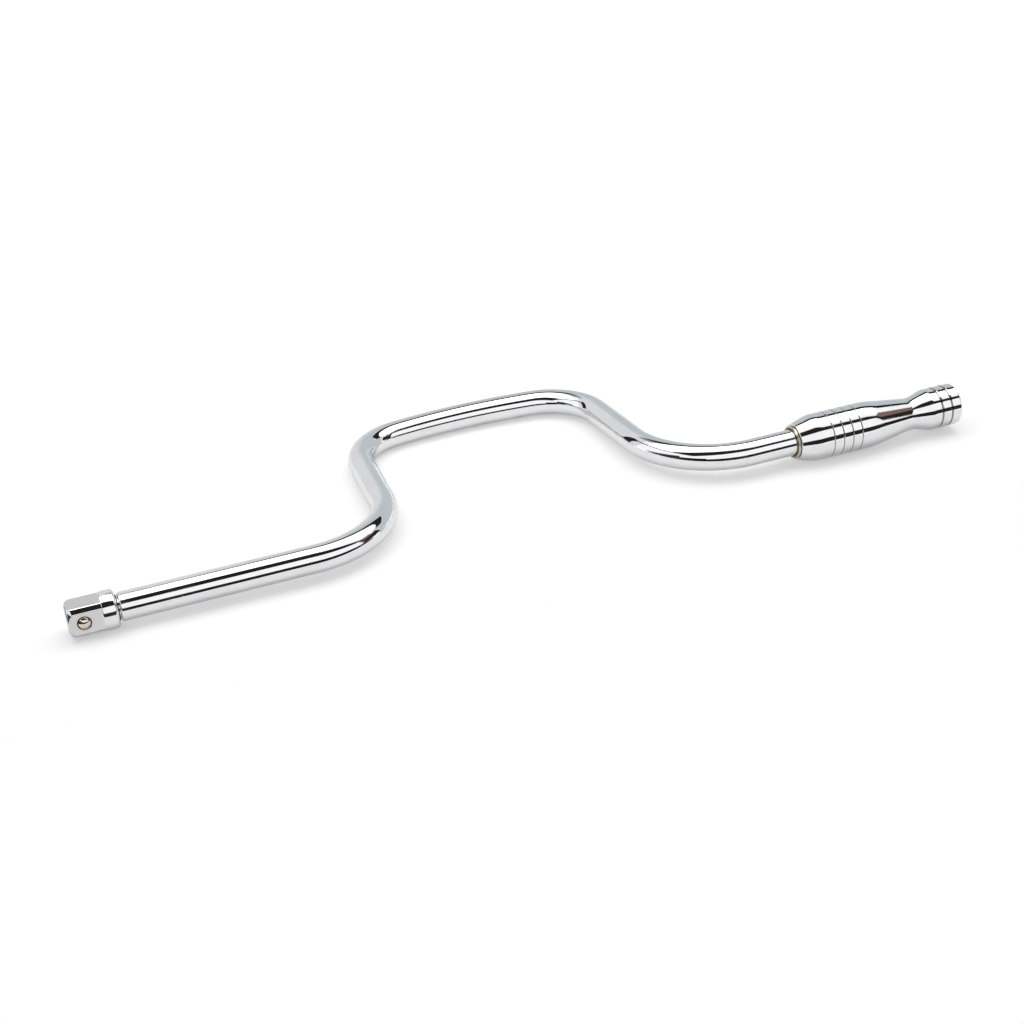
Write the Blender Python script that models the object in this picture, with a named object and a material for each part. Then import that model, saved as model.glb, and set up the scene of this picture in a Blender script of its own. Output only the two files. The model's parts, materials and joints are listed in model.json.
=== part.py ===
"""Speed brace: a bent bar with a male drive square, a spring ball and a free-turning grip.

The drive axis is X. The square's end face lies at X = 0 and the grip at the far end of the bar.
The crank is thrown out along +Y, and the whole bar lies in the XY plane. Lengths are in metres.
"""

import math

import bmesh
import bpy
from mathutils import Matrix, Vector

# The bent bar
BAR_DIAMETER = 0.0120
BAR_END_CHAMFER = 0.0006
BAR_SHOULDER_ROUND = 0.0010
DRIVE_ARM = 0.1012
GRIP_ARM = 0.0213
CRANK_THROW = 0.1024
FOOT_BEND_RADIUS = 0.0401
CORNER_BEND_RADIUS = 0.0278
CROWN_RADIUS = 0.2380
CROWN_LENGTH = 0.0695
LEG_ANGLE = math.radians(86.35)

# The drive head: a turned blank with four milled flats, a crowned collar and a short neck
SQUARE_SIZE = 0.01265
SQUARE_LENGTH = 0.0138
CORNER_RADIUS = 0.00775
NOSE_ROUND = 0.0028
COLLAR_DIAMETER = 0.0162
COLLAR_LENGTH = 0.0060
COLLAR_CROWN = 0.0003
COLLAR_CROWN_BLEND = 0.0045
COLLAR_FRONT_EDGE = 0.0005
COLLAR_REAR_ROUND = 0.0015
NECK_GAP_LENGTH = 0.0006
NECK_STEP = 0.0006
SPIGOT_STEP = 0.0017
SPIGOT_LENGTH = 0.0090

# The ball detent
BALL_DIAMETER = 0.0060
BALL_PLACE_X = 0.0063
BALL_HOLE_BACK_WALL = 0.00265
DRILL_TIP_SLOPE = math.radians(31)
LIP_OVERHANG = 0.00025
LIP_DEPTH = 0.00045
LIP_FLARE = 0.00045
STAKE_WIDTH = 0.0010
STAKE_DEPTH = 0.0001
SPRING_WIRE = 0.0005
SPRING_SIDE_GAP = 0.00065
SPRING_TURNS = 5

# The grip's outside, one stretch after another from its mouth
NOSE_LENGTH = 0.0088
BELLY_LENGTH = 0.0283
TAPER_LENGTH = 0.0235
NECK_LENGTH = 0.0079
KNOB_LENGTH = 0.0143
BELLY_DIAMETER = 0.0213
KNOB_DIAMETER = 0.0191
MOUTH_WALL = 0.0010
WAIST_WALL = 0.0010
NOSE_BLEND = 0.0140
BELLY_BLEND = 0.0500
WAIST_BLEND = 0.0140
KNOB_BLEND = 0.0035
RIM_BLEND = 0.0007
MOUTH_BLEND = 0.0005
BORE_EDGE = 0.00025
BELLY_GROOVE_COUNT = 4
BELLY_GROOVE_START = 0.0065
BELLY_GROOVE_PITCH = 0.00477
BELLY_GROOVE_WIDTH = 0.0006
KNOB_GROOVE_COUNT = 2
KNOB_GROOVE_START = 0.0042
KNOB_GROOVE_PITCH = 0.0050
KNOB_GROOVE_WIDTH = 0.0012
GROOVE_DEPTH = 0.0003
GROOVE_FLOOR_SHARE = 0.35

# The grip's inside: a bush bore in front, a smaller one in the waist, the cap's bore in the knob
BUSH_WALL = 0.0008
REAR_BORE_LENGTH = 0.0180
CAP_BORE_LEAD = 0.0030
CAP_BORE_STEP = 0.0013

# Bushes, washer, retaining ring and end cap
FRONT_BUSH_LENGTH = 0.0120
FRONT_FLANGE_HEIGHT = 0.00025
FRONT_FLANGE_THICKNESS = 0.0008
FRONT_FLANGE_EDGE = 0.0003
REAR_BUSH_LENGTH = 0.0165
REAR_FLANGE_THICKNESS = 0.0010
JOURNAL_STEP = 0.0010
BAR_TAIL_STEP = 0.0010
BAR_TAIL_LENGTH = 0.0038
WASHER_THICKNESS = 0.0010
WASHER_RIM_GAP = 0.0004
RING_THICKNESS = 0.0008
RING_WIDTH = 0.0014
RING_GROOVE_DEPTH = 0.0002
RING_LUG_HEIGHT = 0.0030
RING_LUG_HOLE = 0.0010
RING_GAP_ANGLE = math.radians(34)
RING_LUG_ANGLE = math.radians(26)
RING_HOLE_PLACE_SHARE = 0.35
CAP_WALL = 0.0010
CAP_SKIRT = 0.0040
CAP_RECESS = 0.0003

# Clearances
RUNNING_GAP = 0.0001
SEAT_GAP = 0.0003
OVERRUN = 0.0020

# Facets
SHARP_ANGLE = math.radians(30)
SPRING_POINTS_A_TURN = 10
BAR_SIDES = 24
HEAD_SIDES = 48
SHOULDER_STEPS = 3
GRIP_SIDES = 36
BALL_SIDES = 24
FOOT_STEPS = 12
CORNER_STEPS = 10
CROWN_STEPS = 6
ARC_TOLERANCE = 0.00002
WELD_SHARE = 1e-4

X_AXIS = Vector((1, 0, 0))
Y_AXIS = Vector((0, 1, 0))
Z_AXIS = Vector((0, 0, 1))
FULL_TURN = 2 * math.pi

# Places along the drive axis, worked out from the sizes above
BAR_RADIUS = BAR_DIAMETER / 2
COLLAR_START = SQUARE_LENGTH
COLLAR_END = COLLAR_START + COLLAR_LENGTH
HEAD_END = COLLAR_END + NECK_GAP_LENGTH
CROWN_HALF_ANGLE = CROWN_LENGTH / CROWN_RADIUS / 2
CORNER_ANGLE = LEG_ANGLE - CROWN_HALF_ANGLE
FOOT_RISE = FOOT_BEND_RADIUS * (1 - math.cos(LEG_ANGLE))
CORNER_RISE = CORNER_BEND_RADIUS * (math.cos(CROWN_HALF_ANGLE) - math.cos(LEG_ANGLE))
CROWN_RISE = CROWN_RADIUS * (1 - math.cos(CROWN_HALF_ANGLE))
LEG_LENGTH = (CRANK_THROW - FOOT_RISE - CORNER_RISE - CROWN_RISE) / math.sin(LEG_ANGLE)
FOOT_REACH = FOOT_BEND_RADIUS * math.sin(LEG_ANGLE)
CORNER_REACH = CORNER_BEND_RADIUS * (math.sin(LEG_ANGLE) - math.sin(CROWN_HALF_ANGLE))
CROWN_REACH = CROWN_RADIUS * math.sin(CROWN_HALF_ANGLE)
CRANK_HALF_SPAN = FOOT_REACH + LEG_LENGTH * math.cos(LEG_ANGLE) + CORNER_REACH + CROWN_REACH
GRIP_START = DRIVE_ARM + 2 * CRANK_HALF_SPAN + GRIP_ARM
BELLY_START = GRIP_START + NOSE_LENGTH
BELLY_END = BELLY_START + BELLY_LENGTH
WAIST_PLACE = BELLY_END + TAPER_LENGTH
KNOB_START = WAIST_PLACE + NECK_LENGTH
GRIP_END = KNOB_START + KNOB_LENGTH
CAP_BORE_START = KNOB_START - CAP_BORE_LEAD
REAR_BORE_START = CAP_BORE_START - REAR_BORE_LENGTH
FLANGE_START = REAR_BORE_START - SEAT_GAP - REAR_FLANGE_THICKNESS
JOURNAL_START = FLANGE_START - RUNNING_GAP
WASHER_START = CAP_BORE_START + 2 * RUNNING_GAP
BAR_TAIL_START = WASHER_START - SEAT_GAP
RING_START = WASHER_START + WASHER_THICKNESS + SEAT_GAP

# Radii that follow the bar and the ball
NECK_RADIUS = BAR_RADIUS - NECK_STEP
SPIGOT_RADIUS = BAR_RADIUS - SPIGOT_STEP
JOURNAL_RADIUS = BAR_RADIUS - JOURNAL_STEP
BAR_TAIL_RADIUS = JOURNAL_RADIUS - BAR_TAIL_STEP
GRIP_BORE_RADIUS = BAR_RADIUS + RUNNING_GAP + BUSH_WALL + SEAT_GAP
REAR_BORE_RADIUS = JOURNAL_RADIUS + RUNNING_GAP + BUSH_WALL + SEAT_GAP
CAP_BORE_RADIUS = REAR_BORE_RADIUS + CAP_BORE_STEP
BALL_RADIUS = BALL_DIAMETER / 2
BALL_HOLE_RADIUS = BALL_RADIUS + RUNNING_GAP
BALL_HOLE_DEPTH = SQUARE_SIZE - BALL_HOLE_BACK_WALL
LIP_RADIUS = BALL_RADIUS - LIP_OVERHANG
BALL_DROP = math.sqrt((BALL_RADIUS + RUNNING_GAP / 2) ** 2 - LIP_RADIUS**2)
BALL_PLACE_Y = -SQUARE_SIZE / 2 + LIP_DEPTH + BALL_DROP


def material(name, colour, roughness, metallic=1.0):
    """A plain Principled material."""
    made = bpy.data.materials.new(name)
    made.use_nodes = True
    shader = made.node_tree.nodes["Principled BSDF"]
    shader.inputs["Base Color"].default_value = (*colour, 1)
    shader.inputs["Roughness"].default_value = roughness
    shader.inputs["Metallic"].default_value = metallic
    return made


def add_object(name, bm, surface, parent=None, hidden=False):
    """Closes a bmesh into an object. A moving piece keeps its points relative to its parent."""
    bmesh.ops.recalc_face_normals(bm, faces=bm.faces)
    mesh = bpy.data.meshes.new(name)
    bm.to_mesh(mesh)
    bm.free()
    mesh.shade_smooth()
    mesh.set_sharp_from_angle(angle=SHARP_ANGLE)
    made = bpy.data.objects.new(name, mesh)
    bpy.context.scene.collection.objects.link(made)
    if surface:
        mesh.materials.append(surface)
    if parent:
        made.parent = parent
    if hidden:
        made.hide_render = True
        made.display_type = "WIRE"
    return made


def add_empty(name, place):
    """An empty on a joint's axis, which carries the pieces that move with it."""
    made = bpy.data.objects.new(name, None)
    made.location = place
    made.empty_display_size = BAR_DIAMETER
    bpy.context.scene.collection.objects.link(made)
    return made


def boolean(target, cutter, operation):
    """Adds a Boolean modifier that joins or cuts with a hidden helper."""
    modifier = target.modifiers.new(cutter.name, "BOOLEAN")
    modifier.operation = operation
    modifier.object = cutter


def rounded(corners):
    """Replaces each (x, radius, blend) corner of an outline by an arc of that blend radius."""
    points = []
    for index, (x, r, blend) in enumerate(corners):
        here = Vector((x, r))
        if not blend:
            points.append(here)
            continue
        before = (Vector(corners[index - 1][:2]) - here).normalized()
        after = (Vector(corners[index + 1][:2]) - here).normalized()
        turn = math.pi - before.angle(after)
        setback = blend * math.tan(turn / 2)
        centre = here + (before + after).normalized() * (blend / math.cos(turn / 2))
        spoke = here + before * setback - centre
        steps = max(2, math.ceil(turn / math.acos(1 - ARC_TOLERANCE / blend) / 2))
        side = math.copysign(turn, spoke.cross(here + after * setback - centre))
        for step in range(steps + 1):
            points.append(centre + Matrix.Rotation(side * step / steps, 2) @ spoke)
    return points


def turned(outline, sides, axis=X_AXIS):
    """Spins an outline of (distance along the axis, radius) points into a closed round solid."""
    bm = bmesh.new()
    across = Z_AXIS
    verts = [bm.verts.new(axis * x + across * r) for x, r in outline]
    edges = [bm.edges.new(pair) for pair in zip(verts, verts[1:])]
    if outline[0][1] > 0:
        edges.append(bm.edges.new((verts[-1], verts[0])))
    bmesh.ops.spin(
        bm, geom=verts + edges, cent=(0, 0, 0), axis=axis, angle=FULL_TURN, steps=sides, use_merge=True
    )
    bmesh.ops.remove_doubles(bm, verts=bm.verts, dist=RUNNING_GAP * WELD_SHARE)
    return bm


def tube(start, end, inner, outer):
    """The outline of a plain ring or tube."""
    return [(start, inner), (start, outer), (end, outer), (end, inner)]


class BarSweep:
    """A round bar that is drawn out along its heading, stepped in diameter and bent round centres."""

    def __init__(self, place, radius):
        self.bm = bmesh.new()
        self.place = Vector(place)
        self.heading = 0.0
        self.radius = radius
        upright = Matrix.Translation(self.place) @ Matrix.Rotation(math.pi / 2, 4, "Y")
        ring = bmesh.ops.create_circle(self.bm, segments=BAR_SIDES, radius=radius, matrix=upright)
        self.first = ring["verts"]
        self.edges = list({edge for vert in self.first for edge in vert.link_edges})

    def direction(self):
        return Vector((math.cos(self.heading), math.sin(self.heading), 0))

    def draw(self, length, radius=None):
        """Runs straight on by a length, and ends at a new radius if one is given."""
        grown = bmesh.ops.extrude_edge_only(self.bm, edges=self.edges)["geom"]
        verts = [item for item in grown if isinstance(item, bmesh.types.BMVert)]
        self.edges = [
            item for item in grown if isinstance(item, bmesh.types.BMEdge) and set(item.verts) <= set(verts)
        ]
        self.place += self.direction() * length
        bmesh.ops.translate(self.bm, verts=verts, vec=self.direction() * length)
        if radius:
            share = radius / self.radius
            bmesh.ops.scale(
                self.bm, verts=verts, vec=(share, share, share), space=Matrix.Translation(-self.place)
            )
            self.radius = radius

    def bend(self, radius, angle, steps):
        """Bends left for a positive angle and right for a negative one."""
        side = math.copysign(radius, angle)
        centre = self.place + Matrix.Rotation(math.pi / 2, 3, "Z") @ self.direction() * side
        spun = bmesh.ops.spin(
            self.bm, geom=self.edges, cent=centre, axis=Z_AXIS, angle=angle, steps=steps, use_merge=False
        )
        self.edges = [item for item in spun["geom_last"] if isinstance(item, bmesh.types.BMEdge)]
        self.place = centre + Matrix.Rotation(angle, 3, "Z") @ (self.place - centre)
        self.heading += angle

    def finish(self):
        """Closes both ends."""
        bmesh.ops.contextual_create(self.bm, geom=self.first)
        bmesh.ops.contextual_create(self.bm, geom=self.edges)
        return self.bm


def add_crank_bar(chrome):
    """The bar: spigot, rounded shoulder, two feet, two legs, the bowed crown, journal, ring groove."""
    spigot_start = HEAD_END + SEAT_GAP - SPIGOT_LENGTH
    bar = BarSweep((spigot_start, 0, 0), SPIGOT_RADIUS - BAR_END_CHAMFER)
    bar.draw(BAR_END_CHAMFER, SPIGOT_RADIUS)
    bar.draw(SPIGOT_LENGTH - BAR_END_CHAMFER)
    bar.draw(0, BAR_RADIUS - BAR_SHOULDER_ROUND)
    for step in range(SHOULDER_STEPS):
        near = math.pi / 2 * step / SHOULDER_STEPS
        far = math.pi / 2 * (step + 1) / SHOULDER_STEPS
        run = BAR_SHOULDER_ROUND * (math.cos(near) - math.cos(far))
        bar.draw(run, BAR_RADIUS - BAR_SHOULDER_ROUND * (1 - math.sin(far)))
    bar.draw(DRIVE_ARM - bar.place.x)
    bar.bend(FOOT_BEND_RADIUS, LEG_ANGLE, FOOT_STEPS)
    bar.draw(LEG_LENGTH)
    bar.bend(CORNER_BEND_RADIUS, -CORNER_ANGLE, CORNER_STEPS)
    bar.bend(CROWN_RADIUS, -2 * CROWN_HALF_ANGLE, CROWN_STEPS)
    bar.bend(CORNER_BEND_RADIUS, -CORNER_ANGLE, CORNER_STEPS)
    bar.draw(LEG_LENGTH)
    bar.bend(FOOT_BEND_RADIUS, LEG_ANGLE, FOOT_STEPS)
    bar.draw(JOURNAL_START - bar.place.x)
    bar.draw(0, JOURNAL_RADIUS)
    bar.draw(BAR_TAIL_START - JOURNAL_START)
    bar.draw(0, BAR_TAIL_RADIUS)
    bar.draw(RING_START - SEAT_GAP - BAR_TAIL_START)
    bar.draw(0, BAR_TAIL_RADIUS - RING_GROOVE_DEPTH)
    bar.draw(RING_THICKNESS + 2 * SEAT_GAP)
    bar.draw(0, BAR_TAIL_RADIUS)
    bar.draw(BAR_TAIL_START + BAR_TAIL_LENGTH - bar.place.x)
    bar.draw(BAR_END_CHAMFER, BAR_TAIL_RADIUS - BAR_END_CHAMFER)
    return add_object("crank_bar", bar.finish(), chrome)


def add_square_helper():
    """The male square: a turned blank with a rounded nose, cut to four flats by a square prism."""
    length = SQUARE_LENGTH + COLLAR_LENGTH / 2
    blank = rounded(
        [
            (0, 0, 0),
            (0, CORNER_RADIUS, NOSE_ROUND),
            (length, CORNER_RADIUS, 0),
            (length, 0, 0),
        ]
    )
    helper = add_object("square_helper", turned(blank, HEAD_SIDES), None, hidden=True)
    prism = bmesh.new()
    size = Matrix.Diagonal((2 * length, SQUARE_SIZE, SQUARE_SIZE, 1))
    bmesh.ops.create_cube(prism, size=1, matrix=Matrix.Translation(X_AXIS * OVERRUN) @ size)
    boolean(helper, add_object("square_prism", prism, None, hidden=True), "INTERSECT")
    return helper


def collar_outline():
    """The crowned collar with its rounded rear, and the short neck that the bar butts against."""
    edge_radius = COLLAR_DIAMETER / 2 - COLLAR_CROWN
    middle = COLLAR_START + COLLAR_LENGTH / 2
    return [
        (COLLAR_START, 0),
        (COLLAR_START, edge_radius - COLLAR_FRONT_EDGE),
        (COLLAR_START + COLLAR_FRONT_EDGE, edge_radius),
        *rounded(
            [
                (COLLAR_START + COLLAR_FRONT_EDGE, edge_radius, 0),
                (middle, COLLAR_DIAMETER / 2, COLLAR_CROWN_BLEND),
                (COLLAR_END, edge_radius, COLLAR_REAR_ROUND),
                (COLLAR_END, NECK_RADIUS, 0),
            ]
        )[1:],
        (HEAD_END, NECK_RADIUS),
        (HEAD_END, 0),
    ]


def ball_hole_outline():
    """The drilled hole from the staked rim inwards, as (depth along +Y, radius)."""
    face = -SQUARE_SIZE / 2
    lip = face + LIP_DEPTH
    floor = face + BALL_HOLE_DEPTH
    flare = LIP_RADIUS + LIP_FLARE
    return [
        (face - OVERRUN, 0),
        (face - OVERRUN, flare + STAKE_WIDTH),
        (face, flare + STAKE_WIDTH),
        (face + STAKE_DEPTH, flare),
        (lip, LIP_RADIUS),
        (lip + BALL_DROP / 2, BALL_HOLE_RADIUS),
        (floor, BALL_HOLE_RADIUS),
        (floor + BALL_HOLE_RADIUS * math.tan(DRILL_TIP_SLOPE), 0),
    ]


def add_drive_head(chrome):
    """The head: collar, square, ball hole and the socket for the bar's spigot."""
    head = add_object("drive_head", turned(collar_outline(), HEAD_SIDES), chrome)
    boolean(head, add_square_helper(), "UNION")
    hole = turned(ball_hole_outline(), BALL_SIDES, Y_AXIS)
    bmesh.ops.translate(hole, verts=hole.verts, vec=X_AXIS * BALL_PLACE_X)
    boolean(head, add_object("ball_hole_cutter", hole, None, hidden=True), "DIFFERENCE")
    radius = SPIGOT_RADIUS + SEAT_GAP
    start = HEAD_END - SPIGOT_LENGTH
    socket = [(start, 0), (start, radius), (HEAD_END + OVERRUN, radius), (HEAD_END + OVERRUN, 0)]
    boolean(head, add_object("spigot_cutter", turned(socket, HEAD_SIDES), None, hidden=True), "DIFFERENCE")
    return head


def add_detent(steel):
    """The ball on its slide and the coil spring behind it."""
    carrier = add_empty("detent_slide", (BALL_PLACE_X, BALL_PLACE_Y, 0))
    bm = bmesh.new()
    upright = Matrix.Rotation(math.pi / 2, 4, "X")
    bmesh.ops.create_uvsphere(
        bm, u_segments=BALL_SIDES, v_segments=BALL_SIDES // 2, radius=BALL_RADIUS, matrix=upright
    )
    add_object("detent_ball", bm, steel, parent=carrier)
    add_spring(steel)


def least_gap(points):
    """The smallest clear space between the turns of the spring's wire."""
    nearest = min(
        (first - second).length
        for index, first in enumerate(points)
        for second in points[index + SPRING_POINTS_A_TURN // 2 :]
    )
    return nearest - SPRING_WIRE


def add_spring(steel):
    """A coil of round wire between the ball and the floor of its hole."""
    coil = BALL_HOLE_RADIUS - SPRING_SIDE_GAP - SPRING_WIRE / 2
    seat = math.sqrt((BALL_RADIUS + SEAT_GAP + SPRING_WIRE / 2) ** 2 - coil**2)
    start = BALL_PLACE_Y + seat
    end = -SQUARE_SIZE / 2 + BALL_HOLE_DEPTH - SEAT_GAP - SPRING_WIRE / 2
    count = SPRING_TURNS * SPRING_POINTS_A_TURN
    points = []
    for index in range(count + 1):
        share = index / count
        angle = FULL_TURN * SPRING_TURNS * share
        across = coil * math.cos(angle)
        points.append(Vector((BALL_PLACE_X + across, start + (end - start) * share, coil * math.sin(angle))))
    print(f"detent spring, least gap between turns: {least_gap(points) * 1000:.2f} mm")

    curve = bpy.data.curves.new("detent_spring", "CURVE")
    curve.dimensions = "3D"
    curve.bevel_depth = SPRING_WIRE / 2
    curve.bevel_resolution = 1
    curve.use_fill_caps = True
    spline = curve.splines.new("POLY")
    spline.points.add(count)
    for point, place in zip(spline.points, points):
        point.co = (*place, 1)
    curve.materials.append(steel)
    made = bpy.data.objects.new("detent_spring", curve)
    bpy.context.scene.collection.objects.link(made)
    return made


def groove_points(start, pitch, count, width, radius):
    """Shallow flat-bottomed grooves cut into a cylinder of the grip."""
    points = []
    floor = width * GROOVE_FLOOR_SHARE
    for index in range(count):
        middle = start + index * pitch
        points += [
            (middle - width / 2, radius, 0),
            (middle - floor / 2, radius - GROOVE_DEPTH, 0),
            (middle + floor / 2, radius - GROOVE_DEPTH, 0),
            (middle + width / 2, radius, 0),
        ]
    return points


def grip_outline():
    """The grip's half section: nose, belly, waist and knob outside, three bores inside."""
    belly = BELLY_DIAMETER / 2
    knob = KNOB_DIAMETER / 2
    first = BELLY_START + BELLY_GROOVE_START
    last = KNOB_START + KNOB_GROOVE_START
    outside = [
        (GRIP_START, GRIP_BORE_RADIUS + BORE_EDGE, 0),
        (GRIP_START, GRIP_BORE_RADIUS + MOUTH_WALL, MOUTH_BLEND),
        (BELLY_START, belly, NOSE_BLEND),
        *groove_points(first, BELLY_GROOVE_PITCH, BELLY_GROOVE_COUNT, BELLY_GROOVE_WIDTH, belly),
        (BELLY_END, belly, BELLY_BLEND),
        (WAIST_PLACE, REAR_BORE_RADIUS + WAIST_WALL, WAIST_BLEND),
        (KNOB_START, knob, KNOB_BLEND),
        *groove_points(last, KNOB_GROOVE_PITCH, KNOB_GROOVE_COUNT, KNOB_GROOVE_WIDTH, knob),
        (GRIP_END, knob, RIM_BLEND),
        (GRIP_END, CAP_BORE_RADIUS + BORE_EDGE, 0),
    ]
    inside = [
        (GRIP_END - BORE_EDGE, CAP_BORE_RADIUS),
        (CAP_BORE_START, CAP_BORE_RADIUS),
        (CAP_BORE_START, REAR_BORE_RADIUS),
        (REAR_BORE_START, REAR_BORE_RADIUS),
        (REAR_BORE_START, GRIP_BORE_RADIUS),
        (GRIP_START + BORE_EDGE, GRIP_BORE_RADIUS),
    ]
    return [*rounded(outside), *inside]


def grip_piece(name, outline, surface, carrier):
    """A turned piece that spins with the grip, with its points measured from the grip's mouth."""
    moved = [(x - carrier.location.x, r) for x, r in outline]
    return add_object(name, turned(moved, GRIP_SIDES), surface, parent=carrier)


def add_grip(chrome, bronze):
    """The spinning assembly: sleeve, two pressed bushes and the end cap."""
    carrier = add_empty("grip_axis", (GRIP_START, 0, 0))
    grip_piece("grip_sleeve", grip_outline(), chrome, carrier)

    bore = GRIP_BORE_RADIUS - SEAT_GAP
    flange = GRIP_BORE_RADIUS + FRONT_FLANGE_HEIGHT
    seat = GRIP_START - SEAT_GAP
    start = seat - FRONT_FLANGE_THICKNESS
    front = [
        (start, BAR_RADIUS + RUNNING_GAP),
        (start, flange - FRONT_FLANGE_EDGE),
        (start + FRONT_FLANGE_EDGE, flange),
        (seat, flange),
        (seat, bore),
        (start + FRONT_BUSH_LENGTH, bore),
        (start + FRONT_BUSH_LENGTH, BAR_RADIUS + RUNNING_GAP),
    ]
    grip_piece("front_bush", front, bronze, carrier)

    journal = JOURNAL_RADIUS + RUNNING_GAP
    rear_bore = REAR_BORE_RADIUS - SEAT_GAP
    flange_end = FLANGE_START + REAR_FLANGE_THICKNESS
    rear = [
        (FLANGE_START, journal),
        (FLANGE_START, bore),
        (flange_end, bore),
        (flange_end, rear_bore),
        (FLANGE_START + REAR_BUSH_LENGTH, rear_bore),
        (FLANGE_START + REAR_BUSH_LENGTH, journal),
    ]
    grip_piece("rear_bush", rear, bronze, carrier)

    rim = CAP_BORE_RADIUS - SEAT_GAP
    face = GRIP_END - CAP_RECESS
    cup = [
        (face - CAP_WALL, 0),
        (face - CAP_WALL, rim - CAP_WALL),
        (face - CAP_SKIRT, rim - CAP_WALL),
        (face - CAP_SKIRT, rim),
        (face - BORE_EDGE, rim),
        (face, rim - BORE_EDGE),
        (face, 0),
    ]
    grip_piece("end_cap", cup, chrome, carrier)


def add_washer(steel):
    """The flat washer that takes the grip's thrust."""
    rim = CAP_BORE_RADIUS - WASHER_RIM_GAP
    inner = BAR_TAIL_RADIUS + RUNNING_GAP
    outline = tube(WASHER_START, WASHER_START + WASHER_THICKNESS, inner, rim)
    return add_object("thrust_washer", turned(outline, GRIP_SIDES), steel)


def add_retaining_ring(steel):
    """The open ring in the bar's groove, with a lug and a plier hole at each end of its gap."""
    inner = BAR_TAIL_RADIUS - RING_GROOVE_DEPTH + RUNNING_GAP
    outer = inner + RING_WIDTH
    lug = inner + RING_LUG_HEIGHT
    bm = bmesh.new()
    angles = [RING_GAP_ANGLE / 2, RING_GAP_ANGLE / 2 + RING_LUG_ANGLE]
    arc = FULL_TURN - 2 * angles[1]
    arc_steps = GRIP_SIDES
    angles += [angles[1] + arc * (step + 1) / arc_steps for step in range(arc_steps)]
    angles.append(FULL_TURN - RING_GAP_ANGLE / 2)
    spokes = []
    for index, angle in enumerate(angles):
        spoke = Vector((0, -math.cos(angle), math.sin(angle)))
        reach = lug if index == 0 or index == len(angles) - 1 else outer
        spokes.append((bm.verts.new(spoke * inner), bm.verts.new(spoke * reach)))
    faces = [
        bm.faces.new((near[0], near[1], far[1], far[0])) for near, far in zip(spokes, spokes[1:])
    ]
    grown = bmesh.ops.extrude_face_region(bm, geom=faces)["geom"]
    top = [item for item in grown if isinstance(item, bmesh.types.BMVert)]
    bmesh.ops.translate(bm, verts=top, vec=X_AXIS * RING_THICKNESS)
    bmesh.ops.translate(bm, verts=bm.verts, vec=X_AXIS * RING_START)
    ring = add_object("retaining_ring", bm, steel)
    middle = RING_GAP_ANGLE / 2 + RING_LUG_ANGLE * RING_HOLE_PLACE_SHARE
    reach = (inner + outer) / 2
    for side in (1, -1):
        drill = turned(
            [
                (RING_START - OVERRUN, 0),
                (RING_START - OVERRUN, RING_LUG_HOLE / 2),
                (RING_START + OVERRUN, RING_LUG_HOLE / 2),
                (RING_START + OVERRUN, 0),
            ],
            BALL_SIDES // 2,
        )
        place = Vector((0, -reach * math.cos(middle), side * reach * math.sin(middle)))
        bmesh.ops.translate(drill, verts=drill.verts, vec=place)
        boolean(ring, add_object("lug_drill", drill, None, hidden=True), "DIFFERENCE")
    return ring


def clear_scene():
    """Removes every object of the scene."""
    for old in list(bpy.data.objects):
        bpy.data.objects.remove(old)


def main():
    clear_scene()
    chrome = material("chrome plate", (0.86, 0.87, 0.88), 0.06)
    steel = material("bright steel", (0.62, 0.58, 0.54), 0.18)
    bronze = material("bush bronze", (0.55, 0.47, 0.30), 0.35)
    add_crank_bar(chrome)
    add_drive_head(chrome)
    add_detent(steel)
    add_grip(chrome, bronze)
    add_washer(steel)
    add_retaining_ring(steel)


main()
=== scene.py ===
# %% [markdown]
# # Dressing a chrome speed brace
#
# A speed brace is a hand crank for turning sockets fast: a bent bar with a square at one end and
# a spinning grip at the other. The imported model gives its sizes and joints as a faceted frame.
# This lesson rebuilds what shows as smooth plated metal that sits exactly where the frame says.

# %% The frame
import json
import math

import bmesh
import bpy
from mathutils import Matrix, Vector

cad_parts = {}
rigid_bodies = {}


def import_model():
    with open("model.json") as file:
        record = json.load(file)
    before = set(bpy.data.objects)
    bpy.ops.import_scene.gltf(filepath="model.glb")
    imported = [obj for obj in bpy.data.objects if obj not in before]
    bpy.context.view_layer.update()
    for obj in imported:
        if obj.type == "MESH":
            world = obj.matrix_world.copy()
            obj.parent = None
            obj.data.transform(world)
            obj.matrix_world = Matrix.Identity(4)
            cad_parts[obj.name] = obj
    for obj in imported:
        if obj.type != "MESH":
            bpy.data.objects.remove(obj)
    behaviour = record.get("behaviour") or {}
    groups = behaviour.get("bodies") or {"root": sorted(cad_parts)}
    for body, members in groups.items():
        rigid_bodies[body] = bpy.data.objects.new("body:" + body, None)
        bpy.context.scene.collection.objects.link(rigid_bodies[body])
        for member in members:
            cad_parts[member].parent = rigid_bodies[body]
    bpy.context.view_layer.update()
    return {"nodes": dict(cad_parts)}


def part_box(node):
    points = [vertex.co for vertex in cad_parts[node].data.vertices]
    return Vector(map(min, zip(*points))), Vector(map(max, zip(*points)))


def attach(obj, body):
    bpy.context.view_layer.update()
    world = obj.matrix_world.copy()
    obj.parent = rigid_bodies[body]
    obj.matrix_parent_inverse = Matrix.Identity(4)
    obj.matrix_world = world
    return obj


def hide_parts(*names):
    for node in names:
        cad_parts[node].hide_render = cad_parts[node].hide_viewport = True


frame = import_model()
print("CAD nodes:", ", ".join(sorted(frame["nodes"])))

# %% [markdown]
# ## The camera
#
# The photographer stood a little to the left of the square, about 0.6 m away, and looked down by
# 28 degrees. A camera's own axes are right, up and back, so it is turned in three plain steps:
# round the vertical for its azimuth, round its right axis for its tilt, then rolled in its frame.

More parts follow.
